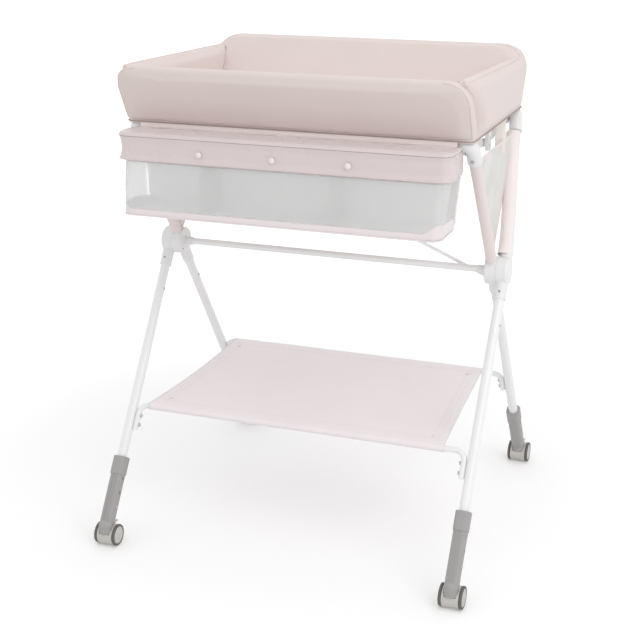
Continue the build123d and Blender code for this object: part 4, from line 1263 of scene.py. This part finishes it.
class CHANGING_OT_lid(bpy.types.Operator):
    """Organiser's satin lid with its drop, piping and press studs"""

    bl_idname = "changing.lid"
    bl_label = "Organiser lid"

    def execute(self, context):
        rows = ruffle(lid_grid(), 0.55 * MM, 22, 4.4)
        for row in rows:
            for place in row:
                if place[0] < 0:
                    ahead = clamp((LID_HIGH.y - 12 * MM - place[1]) / (20 * MM))
                    place[0] -= LID_LEFT_REACH * ahead * (place[0] / LID_LOW.x) ** 4
        lid = grid_piece("organiser_satin_lid", rows, "satin")
        thicken(lid, 1.3 * MM)
        smooth_more(lid)
        declare_sheet(rows)
        finish_piece(lid, "lid", "pink_fabric", "organiser_lid")
        points = np.array(rows)
        edge = [tuple(p) for p in points[12]]
        # Row of the lid's seam line under its top edge; its cord is painted shade.
        seam = [tuple(p) for p in points[15][6:-6]]
        hem = [tuple(p) for p in points[-3]]
        foot = [tuple(p) for p in points[-1][4:-4]]
        cords = piping("lid_piping", [edge, foot], "satin", radius=1.0 * MM)
        finish_piece(cords, "lid", "pink_fabric")
        ends = []
        for column in (9, -10):
            ends.append([tuple(p) for p in points[15:-1, column]])
        # The lid's seam and its end seams are real seams drawn in the dark seam finish, painted shade
        # along them.
        seams = piping("lid_seam_shade", [seam] + ends, "seam", radius=0.7 * MM, step=3 * MM)
        finish_piece(seams, "lid", "pink_fabric")
        strip = hinge_strip()
        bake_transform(strip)
        lines = stitches("lid_stitches", [hem])
        finish_piece(lines, "lid", "pink_fabric")
        low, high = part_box("lid_snaps")
        places = []
        for x in spaced(low.x + 6 * MM, high.x - 6 * MM, 3):
            places.append(((x, high.y - 1.2 * MM, (low.z + high.z) / 2), (0, -1, 0)))
        mesh = stud_points("studs", places)
        studs = run_tree("lid_press_studs", "stud", mesh, "pearl", Radius=6 * MM, Height=2.4 * MM)
        finish_piece(studs, "lid", "pearl", "lid_snaps")
        return {"FINISHED"}


def stud_points(name, places):
    """Loose points that carry the direction their studs face."""
    mesh = new_mesh(name, [place for place, _ in places], [])
    attribute = mesh.attributes.new("stud_normal", "FLOAT_VECTOR", "POINT")
    attribute.data.foreach_set("vector", [value for _, facing in places for value in facing])
    return mesh


# Sleeves, straps and side nets -----------------------------------------------------------


TUBE_SIDES = 28


def tube_rows(path, across, deep, wrinkle, seed, flare):
    """Rows of rings round a path: oval rings, half `across` wide in X and half `deep` in its plane."""
    points = np.array(path, float)
    along = np.gradient(points, axis=0)
    along /= np.linalg.norm(along, axis=1, keepdims=True)
    rows = []
    for number, (centre, direction) in enumerate(zip(points, along)):
        side = np.array((1.0, 0, 0)) if abs(direction[0]) < 0.9 else np.array((0, 1.0, 0))
        first = side - direction * side.dot(direction)
        first /= np.linalg.norm(first)
        second = np.cross(direction, first)
        ring = []
        for i in range(TUBE_SIDES):
            angle = 2 * math.pi * i / TUBE_SIDES
            spot = centre + first * across * math.cos(angle) + second * deep * math.sin(angle)
            crease = noise.noise(Vector(spot) * 38 + Vector((seed, 0, 0)))
            crease += 0.6 * noise.noise(Vector(spot) * 90 + Vector((0, seed, 0)))
            size = flare[number] * (1 + wrinkle * crease)
            ring.append(centre + (spot - centre) * size)
        rows.append(ring)
    return rows


def mixed(start, end, count):
    """Even points on a straight line."""
    return [tuple(Vector(start).lerp(Vector(end), i / (count - 1))) for i in range(count)]


def along_frame(side, upper, s0, s1, count):
    """Centre line of an upper tube between two distances from the hub."""
    lean, leg_x, top_x, toward = upper
    top_s = (FRONT_RAIL.z - HUB.z) / math.cos(lean)
    points = []
    for i in range(count):
        s = s0 + (s1 - s0) * i / (count - 1)
        run = max(0.0, s - 60 * MM) / (top_s - 60 * MM)
        x = leg_x + (top_x - leg_x) * run
        points.append((side * x, HUB.y + toward * s * math.sin(lean), HUB.z + s * math.cos(lean)))
    return points


OUTER_LEG_X = 369 * MM      # the front leg frame stands outside the rear one
INNER_LEG_X = 346 * MM
REAR_UPPER = (math.atan2(REAR_RAIL.y - HUB.y, REAR_RAIL.z - HUB.z), OUTER_LEG_X, 340 * MM, 1)
FRONT_UPPER = (math.atan2(HUB.y - FRONT_RAIL.y, FRONT_RAIL.z - HUB.z), INNER_LEG_X, 341.5 * MM, -1)


SLEEVE_SHIFT = 3.8 * MM     # how far the wide rear sleeves hang in towards the table
SLEEVE_HEM = 0.06           # how much wider a sleeve is at its hems, as a share
REAR_SLEEVE_RUN = (33 * MM, 297 * MM, 96)       # from and to these distances from the hub, in rings
FRONT_SLEEVE_RUN = (34 * MM, 298 * MM, 90)
REAR_SLEEVE_R = (14.6 * MM, 15.8 * MM)          # half the width across the table, and along it
FRONT_SLEEVE_R = (10.9 * MM, 11.0 * MM)
RAIL_SLEEVE_R = (12.4 * MM, 12.4 * MM)
RAIL_SLEEVE_HALF = 311 * MM


def sleeve(name, path, across, deep, wrinkle, seed, finish="cloth"):
    """Cloth tube with a thicker hem at its ends."""
    count = len(path)
    flare = []
    for i in range(count):
        share = i / (count - 1)
        near = min(share, 1 - share)
        flare.append(1 + SLEEVE_HEM * max(0.0, 1 - near * 30))
    rows = tube_rows(path, across, deep, wrinkle, seed, flare)
    piece = grid_piece(name, rows, finish, closed_u=True)
    thicken(piece, 1.0 * MM, offset=-1)
    return smooth_more(piece)


class CHANGING_OT_sleeves(bpy.types.Operator):
    """Cloth sleeves of the upper tubes and the rails"""

    bl_idname = "changing.sleeves"
    bl_label = "Sleeves"

    def execute(self, context):
        rear, front = [], []
        for side in (-1, 1):
            line = along_frame(side, REAR_UPPER, *REAR_SLEEVE_RUN)
            path = [(x - side * SLEEVE_SHIFT, y, z) for x, y, z in line]
            # The rear sleeves take the paler copy of the cloth: painted light.
            rear.append(sleeve("rear_sleeve", path, *REAR_SLEEVE_R, 0.07, 5.0 * side, "sleeve"))
            path = along_frame(side, FRONT_UPPER, *FRONT_SLEEVE_RUN)
            front.append(sleeve("front_sleeve", path, *FRONT_SLEEVE_R, 0.03, 9.0 * side))
        half = RAIL_SLEEVE_HALF
        for rail, parts in ((REAR_RAIL, rear), (FRONT_RAIL, front)):
            path = mixed((-half, rail.y, rail.z), (half, rail.y, rail.z), 200)
            parts.append(sleeve("rail_sleeve", path, *RAIL_SLEEVE_R, 0.05, 14.0))
        piece = joined("rear_tube_sleeves", rear)
        finish_piece(piece, "front_frame", "pink_fabric", "rear_sleeves")
        piece = joined("front_tube_sleeves", front)
        finish_piece(piece, "rear_frame", "pink_fabric", "front_sleeves")
        return {"FINISHED"}


NET_X = 343 * MM
NET_TOP = 248 * MM          # height of the nets' top edge over the hub
STRAP_X, STRAP_Y = 338 * MM, 50 * MM
STRAP_WIDTH = 21 * MM


class CHANGING_OT_side_nets(bpy.types.Operator):
    """V-shaped net panels between the upper tubes, with their binding and straps"""

    bl_idname = "changing.side_nets"
    bl_label = "Side nets"

    def execute(self, context):
        s = sizes()
        low_z, high_z = NET_LOW.z + 2 * MM, HUB.z + NET_TOP
        nets, bindings = [], []
        for side in (-1, 1):
            x = side * NET_X
            spans = []
            for z in (low_z, high_z):
                rise = z - HUB.z
                front = HUB.y - rise * math.tan(FRONT_UPPER[0]) + 12 * MM
                back = HUB.y + rise * math.tan(REAR_UPPER[0]) - 13 * MM
                spans.append((min(front, back - 2 * MM), back))
            (low_front, low_back), (high_front, high_back) = spans
            corners = [
                (x, low_front, low_z),
                (x, low_back, low_z),
                (x, high_back, high_z),
                (x, high_front, high_z),
            ]
            mesh = triangle_lattice("side_net", corners, s.net_cell, 2.0 * MM, 7.0 * side)
            nets.append(run_tree("side_net", "net", mesh, "net", Radius=s.strand))
            edges = []
            for a, b in ((0, 3), (3, 2), (2, 1)):
                edges.append(mixed(corners[a], corners[b], 50))
            for edge in edges:
                bindings.append(flat_band(edge, (1, 0, 0), 7 * MM, 1.2 * MM, "cloth"))
        nets += bindings
        piece = joined("side_net_panels", nets)
        finish_folding(piece, "mesh", "side_mesh_panels")
        straps = []
        for side in (-1, 1):
            x, y = side * STRAP_X, STRAP_Y
            run = mixed((x, y, high_z - 24 * MM), (x, y, PAD_LOW.z + 2 * MM), 12)
            straps.append(flat_band(run, (0.5 * side, -0.87, 0), STRAP_WIDTH, 1.4 * MM, "strap"))
        piece = joined("side_straps", straps)
        finish_folding(piece, "mesh")
        return {"FINISHED"}


def triangle_lattice(name, corners, cell, wave, seed):
    """Diamond lattice of even cells on a patch that narrows downwards, cut at its slanting sides."""
    a, b, c, d = [Vector(p) for p in corners]
    x = a.x
    points, index, edges = [], {}, []
    rows = round((d.z - a.z) / (cell / 2))

    def number(i, j):
        if (i, j) not in index:
            y, z = i * cell / 2, a.z + j * (d.z - a.z) / rows
            push = wave * noise.noise(Vector((seed, y * 16, z * 16)))
            index[i, j] = len(points)
            points.append((x + push, y, z))
        return index[i, j]

    def within(i, j):
        share = j / rows
        low_y = a.y + (d.y - a.y) * share
        high_y = b.y + (c.y - b.y) * share
        return low_y <= i * cell / 2 <= high_y

    first, last = int(min(a.y, d.y) / (cell / 2)) - 2, int(max(b.y, c.y) / (cell / 2)) + 2
    for j in range(rows):
        for i in range(first, last):
            if (i + j) % 2:
                continue
            for step in (-1, 1):
                if within(i, j) and within(i + step, j + 1):
                    edges.append((number(i, j), number(i + step, j + 1)))
    return new_mesh(name, points, [], edges)


def flat_band(run, facing, width, thickness, finish):
    """Flat strip of webbing or binding along a run."""
    points = np.array(run, float)
    along = np.gradient(points, axis=0)
    along /= np.linalg.norm(along, axis=1, keepdims=True)
    side = np.cross(along, np.array(facing, float))
    side /= np.maximum(np.linalg.norm(side, axis=1, keepdims=True), 1e-9)
    rows = [points + side * (width * (i / 4 - 0.5)) for i in range(5)]
    strip = grid_piece("strip", rows, finish)
    thicken(strip, thickness)
    bevel = strip.modifiers.new("Edge", "BEVEL")
    bevel.width = 0.3 * thickness
    bevel.segments = 2
    return apply_modifiers(strip)


# Shelf -----------------------------------------------------------------------------------


SHELF_FRONT = (-331 * MM, 310 * MM)         # left and right edge at the front bar
SHELF_REAR = (-308 * MM, 290 * MM)
FRONT_BAR_Z, REAR_BAR_Z = 262 * MM, 275 * MM
HEM_R = 7.2 * MM            # the sheet's middle surface round a bar
BAR_INSET = 8 * MM          # from the sheet's front and rear edge to a bar's axis


def shelf_rows():
    """Grid of the shelf sheet: from under the front bar, over the shelf and under the rear bar."""
    front_z, rear_z, hem = FRONT_BAR_Z, REAR_BAR_Z, HEM_R
    low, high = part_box("shelf_sheet")
    front_y, rear_y = low.y + BAR_INSET, high.y - BAR_INSET
    rows, sag = [], sizes().sag
    profile = []
    for i in range(13):
        angle = math.radians(-100 - 170 * i / 12)
        profile.append((front_y + hem * math.cos(angle), front_z + hem * math.sin(angle)))
    count = 64
    for i in range(1, count):
        share = i / count
        y = front_y + (rear_y - front_y) * share
        z = front_z + hem + (rear_z - front_z) * share
        profile.append((y, z - sag * math.sin(math.pi * share) ** 0.8))
    for i in range(13):
        angle = math.radians(90 - 170 * i / 12)
        profile.append((rear_y + hem * math.cos(angle), rear_z + hem * math.sin(angle)))
    for y, z in profile:
        share = (y - front_y) / (rear_y - front_y)
        left = SHELF_FRONT[0] + (SHELF_REAR[0] - SHELF_FRONT[0]) * share
        right = SHELF_FRONT[1] + (SHELF_REAR[1] - SHELF_FRONT[1]) * share
        pull = 3 * MM * math.sin(math.pi * clamp(share))
        left, right = left + pull, right - pull
        rows.append([(left + (right - left) * u / 110, y, z) for u in range(111)])
    return rows


class CHANGING_OT_shelf(bpy.types.Operator):
    """Shelf sheet hemmed round its two bars, with folded edges, stitches and studs"""

    bl_idname = "changing.shelf"
    bl_label = "Shelf sheet"

    def execute(self, context):
        rows = ruffle(shelf_rows(), 0.9 * MM, 9, 6.1, edge_free=0.25)
        sheet = grid_piece("shelf_cloth", rows, "shelf")
        thicken(sheet, 1.3 * MM)
        points = np.array(rows)
        lift = np.array((0, 0, 0.9 * MM))
        hems = [points[14:-14, 2] + lift, points[14:-14, -3] + lift]
        bands = [flat_band(run, (0, 0, 1), 12 * MM, 1.0 * MM, "shelf") for run in hems]
        cloth = joined("shelf_sheet_cloth", [sheet] + bands)
        finish_folding(cloth, "pink_fabric", "shelf_sheet", low=True)
        runs = [points[16, 3:-3] + lift, points[-17, 3:-3] + lift]
        runs += [points[15:-15, 5] + 1.6 * lift, points[15:-15, -6] + 1.6 * lift]
        seams = stitches("shelf_stitches", [[tuple(p) for p in run] for run in runs])
        finish_folding(seams, "pink_fabric", low=True)
        places = []
        for row, column in ((18, 5), (18, -6), (-19, 5), (-19, -6)):
            places.append((tuple(points[row, column] + 1.5 * lift), (0, 0, 1)))
        mesh = stud_points("studs", places)
        studs = run_tree("shelf_studs", "stud", mesh, "pearl", Radius=4.5 * MM, Height=1.8 * MM)
        finish_folding(studs, "pearl", low=True)
        return {"FINISHED"}


# Frame and feet --------------------------------------------------------------------------


NODE_FINISHES = {
    "paint": (
        "front_legs", "rear_legs", "front_leg_stubs", "rear_leg_stubs", "front_upper_tubes",
        "rear_upper_tubes", "front_top_rail", "rear_top_rail", "crossbar", "brace_rod",
        "shelf_front_bar", "shelf_rear_bar",
    ),
    "plastic": (
        "outer_hub_halves", "inner_hub_halves", "hub_caps", "front_elbows", "rear_elbows",
    ),
    "steel": ("pivot_bolts", "front_frame_bolts", "rear_frame_bolts"),
}
NODE_PREFIXES = {
    "stay_": "plastic",
    "leg_extension_": "foot",
    "caster_hood_": "hood",
    "brake_lever_": "hood",
    "caster_wheels_": "tyre",
    "height_button_": "steel",
    "joint_button_": "steel",
}


class CHANGING_OT_frame(bpy.types.Operator):
    """Paint, plastic and steel of the rigid nodes"""

    bl_idname = "changing.frame"
    bl_label = "Frame finishes"

    def execute(self, context):
        for name, node in frame["nodes"].items():
            finish = next((f for f, names in NODE_FINISHES.items() if name in names), None)
            if finish is None:
                finish = next((f for p, f in NODE_PREFIXES.items() if name.startswith(p)), "cloth")
            node.data.materials.clear()
            node.data.materials.append(FINISHES[finish])
        return {"FINISHED"}


CORNERS = [(row, side) for row in ("front", "rear") for side in ("left", "right")]
TYRE_SECTION = [          # distance outwards from the wheel's inner face, and radius
    (0.0, 18.0), (0.0, 20.9), (0.3, 21.9), (1.1, 22.5), (4.6, 22.5), (5.4, 22.0), (5.8, 21.0), (5.8, 18.4),
    (5.4, 18.0),
]
DISC_SECTION = [
    (0.2, 0.0), (0.2, 17.9), (5.1, 17.9), (5.5, 17.3), (5.5, 16.2), (4.7, 15.4), (4.4, 7.2), (5.0, 6.2),
    (5.3, 5.6), (5.3, 2.2), (4.8, 1.8), (4.8, 0.0),
]


def turned(name, section, axle, start, outwards, finish, closed):
    """Shape turned round an axle along X; its section starts at `start` and grows outwards."""
    rows = []
    for out, radius in section:
        ring = []
        for i in range(48):
            angle = math.pi * i / 24
            y, z = axle.y + radius * MM * math.cos(angle), axle.z + radius * MM * math.sin(angle)
            ring.append((start + outwards * out * MM, y, z))
        rows.append(ring)
    piece = link_mesh(name, grid_mesh(name, rows, closed_u=True, closed_v=closed), finish)
    outward(piece)
    return piece


class CHANGING_OT_wheels(bpy.types.Operator):
    """Caster wheels: dark tyres round dished discs, on their axles"""

    bl_idname = "changing.wheels"
    bl_label = "Caster wheels"

    def execute(self, context):
        for row, side in CORNERS:
            node = f"caster_wheels_{row}_{side}"
            low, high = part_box(node)
            axle = middle(node)
            parts = []
            for outwards, start in ((-1, low.x + 5.8 * MM), (1, high.x - 5.8 * MM)):
                parts.append(turned("tyre", TYRE_SECTION, axle, start, outwards, "tyre", True))
                parts.append(turned("disc", DISC_SECTION, axle, start, outwards, "disc", False))
            rod = [(0.0, 0.0), (0.0, 3.0), (36.0, 3.0), (36.0, 0.0)]
            parts.append(turned("axle", rod, axle, axle.x - 18 * MM, 1, "steel", False))
            wheels = joined(f"twin_wheels_{row}_{side}", parts)
            wheels.data.set_sharp_from_angle(angle=math.radians(40))
            finish_piece(wheels, node, "tyre", node)
        return {"FINISHED"}


def leg_point(leg_x, lean, toward, s, out):
    """Point at a distance s below the hub and `out` before the leg's axis, and its direction."""
    along = Vector((0, toward * math.sin(lean), -math.cos(lean)))
    facing = Vector((0, toward * math.cos(lean), math.sin(lean)))
    return Vector((leg_x, HUB.y, HUB.z)) + along * s + facing * out, facing


SCREW_S, SCREW_OUT = 46 * MM, 12.5 * MM     # along the hub's arm, and out from its axis
INNER_SCREW_X = 333.2 * MM
INNER_SCREW_BY = (-17 * MM, -14 * MM)       # across and up from the hub's axis


class CHANGING_OT_screws(bpy.types.Operator):
    """Countersunk screws of the hubs, with raised dark crosses as painted shade for their cross recesses
    """

    bl_idname = "changing.screws"
    bl_label = "Hub screws"

    def execute(self, context):
        for body, leg_x, upper, toward in (
            ("front_frame", OUTER_LEG_X, REAR_UPPER, -1),
            ("rear_frame", INNER_LEG_X, FRONT_UPPER, 1),
        ):
            places = []
            for side in (-1, 1):
                place, facing = leg_point(side * leg_x, upper[0], toward, SCREW_S, SCREW_OUT)
                places.append((place, facing))
                if body == "rear_frame":
                    across, up = INNER_SCREW_BY
                    place = Vector((side * INNER_SCREW_X, HUB.y + across, HUB.z + up))
                    places.append((place, Vector((-side, 0, 0))))
            name, mesh = f"{body}_hub_screws", stud_points("heads", places)
            heads = run_tree(name, "stud", mesh, "steel", Radius=2.8 * MM, Height=0.7 * MM)
            finish_piece(heads, body, "steel")
            # Raised dark crosses on the screw heads: painted shade standing in for the cross recesses.
            name, mesh = f"{body}_painted_recess_shade", stud_points("crosses", places)
            crosses = run_tree(name, "cross", mesh, "hole", Size=3.0 * MM, Rise=0.72 * MM)
            finish_piece(crosses, body, "steel")
        return {"FINISHED"}


# Stage -----------------------------------------------------------------------------------


EYE = (908.0, -2488.4, 1329.3)     # millimetres from the hub axis' middle on the floor
YAW, PITCH, ROLL = 20.53, 18.85, -0.322
LENS = 74.1
FLOOR_HALF = 30             # half the floor's side, in metres


def make_camera():
    """Camera in front of the table, a little to its right and above it."""
    data = bpy.data.cameras.new("camera")
    data.lens = LENS
    data.sensor_width = 36
    camera = bpy.data.objects.new("camera", data)
    yaw, pitch, roll = map(math.radians, (YAW, PITCH, ROLL))
    forward = Vector((-math.sin(yaw) * math.cos(pitch), math.cos(yaw) * math.cos(pitch), -math.sin(pitch)))
    right = forward.cross(Vector((0, 0, 1))).normalized()
    up = right.cross(forward)
    turned_right = right * math.cos(roll) + up * math.sin(roll)
    turned_up = up * math.cos(roll) - right * math.sin(roll)
    camera.matrix_world = Matrix(
        (
            (turned_right.x, turned_up.x, -forward.x, EYE[0] * MM),
            (turned_right.y, turned_up.y, -forward.y, EYE[1] * MM + HUB.y),
            (turned_right.z, turned_up.z, -forward.z, EYE[2] * MM),
            (0, 0, 0, 1),
        )
    )
    bpy.context.scene.collection.objects.link(camera)
    bpy.context.scene.camera = camera


def add_lamp(name, place, target, size, power):
    """Rectangular lamp that faces a target."""
    data = bpy.data.lights.new(name, "AREA")
    data.shape = "RECTANGLE"
    data.size, data.size_y = size
    data.energy = power
    lamp = bpy.data.objects.new(name, data)
    lamp.location = place
    lamp.rotation_mode = "QUATERNION"
    lamp.rotation_quaternion = (Vector(target) - Vector(place)).to_track_quat("-Z", "Y")
    bpy.context.scene.collection.objects.link(lamp)


def white_to_camera(n, strength):
    """A strength that only rays from the camera, and those mirrored or passed on, can see."""
    path = n.add("ShaderNodeLightPath")
    seen = n.math("MAXIMUM", path.outputs["Is Camera Ray"], path.outputs["Is Glossy Ray"])
    seen = n.math("MAXIMUM", seen, path.outputs["Is Transmission Ray"])
    return n.math("MULTIPLY", seen, strength)


class CHANGING_OT_stage(bpy.types.Operator):
    """Camera, pale floor, world and soft lamps"""

    bl_idname = "changing.stage"
    bl_label = "Stage"

    def execute(self, context):
        make_camera()
        corners = [(FLOOR_HALF * i, FLOOR_HALF * j, 0) for i, j in ((-1, -1), (1, -1), (1, 1), (-1, 1))]
        floor = link_mesh("floor", new_mesh("floor", corners, [(0, 1, 2, 3)]))
        material, n, shader = principled("pale floor")
        shader.inputs["Base Color"].default_value = (*srgb(240, 240, 240), 1)
        shader.inputs["Roughness"].default_value = 0.9
        glow = n.add("ShaderNodeEmission")
        coords = n.add("ShaderNodeTexCoord")
        far = n.add("ShaderNodeVectorMath", operation="LENGTH")
        n.link(coords.outputs["Object"], far.inputs[0])
        # Painted shade: the camera-only glow is weaker within 0.7 m of the middle and full beyond 1.7 m,
        # so the floor round the table reads darker.
        rise = n.add("ShaderNodeMapRange", interpolation_type="SMOOTHSTEP")
        for label, value in (("From Min", 0.7), ("From Max", 1.7), ("To Min", 0.19), ("To Max", 0.42)):
            rise.inputs[label].default_value = value
        n.link(far.outputs["Value"], rise.inputs["Value"])
        n.link(white_to_camera(n, rise.outputs["Result"]), glow.inputs["Strength"])
        both = n.add("ShaderNodeAddShader")
        n.link(shader.outputs[0], both.inputs[0])
        n.link(glow.outputs[0], both.inputs[1])
        output = material.node_tree.nodes["Material Output"]
        n.link(both.outputs[0], output.inputs["Surface"])
        floor.data.materials.append(material)

        world = bpy.data.worlds.new("studio")
        context.scene.world = world
        world.use_nodes = True
        n = Nodes(world.node_tree)
        background = world.node_tree.nodes["Background"]
        background.inputs["Color"].default_value = (1, 1, 1, 1)
        seen = white_to_camera(n, 0.18)
        n.link(n.math("ADD", seen, 0.82), background.inputs["Strength"])
        add_lamp("key lamp", (2.2, -1.6, 2.6), (0, 0, 0.7), (2.2, 2.2), 24)
        add_lamp("top lamp", (-0.4, 0.2, 3.2), (0, 0, 0.6), (2.6, 2.6), 6)
        context.scene.view_settings.view_transform = "Standard"
        return {"FINISHED"}


# Panel and registration ------------------------------------------------------------------


STEPS = (
    CHANGING_OT_stage,
    CHANGING_OT_frame,
    CHANGING_OT_pad,
    CHANGING_OT_basket,
    CHANGING_OT_dividers,
    CHANGING_OT_lid,
    CHANGING_OT_sleeves,
    CHANGING_OT_side_nets,
    CHANGING_OT_shelf,
    CHANGING_OT_wheels,
    CHANGING_OT_screws,
)


class CHANGING_PT_panel(bpy.types.Panel):
    """Lists the table's colours, sizes and pieces"""

    bl_idname = "CHANGING_PT_panel"
    bl_label = "Changing Table"
    bl_space_type = "VIEW_3D"
    bl_region_type = "UI"
    bl_category = "Changing Table"

    def draw(self, context):
        for group in (context.scene.changing_colours, context.scene.changing_sizes):
            for name in group.__annotations__:
                self.layout.prop(group, name)
        for step in STEPS:
            self.layout.operator(step.bl_idname)


CLASSES = (ChangingTableColours, ChangingTableSizes, *STEPS, CHANGING_PT_panel)


def register():
    for item in CLASSES:
        bpy.utils.register_class(item)
    bpy.types.Scene.changing_colours = PointerProperty(type=ChangingTableColours)
    bpy.types.Scene.changing_sizes = PointerProperty(type=ChangingTableSizes)


def unregister():
    del bpy.types.Scene.changing_sizes
    del bpy.types.Scene.changing_colours
    for item in reversed(CLASSES):
        bpy.utils.unregister_class(item)


def main():
    register()
    make_finishes()
    make_trees()
    for step in STEPS:
        group, name = step.bl_idname.split(".")
        getattr(getattr(bpy.ops, group), name)()


if __name__ == "__main__":
    main()
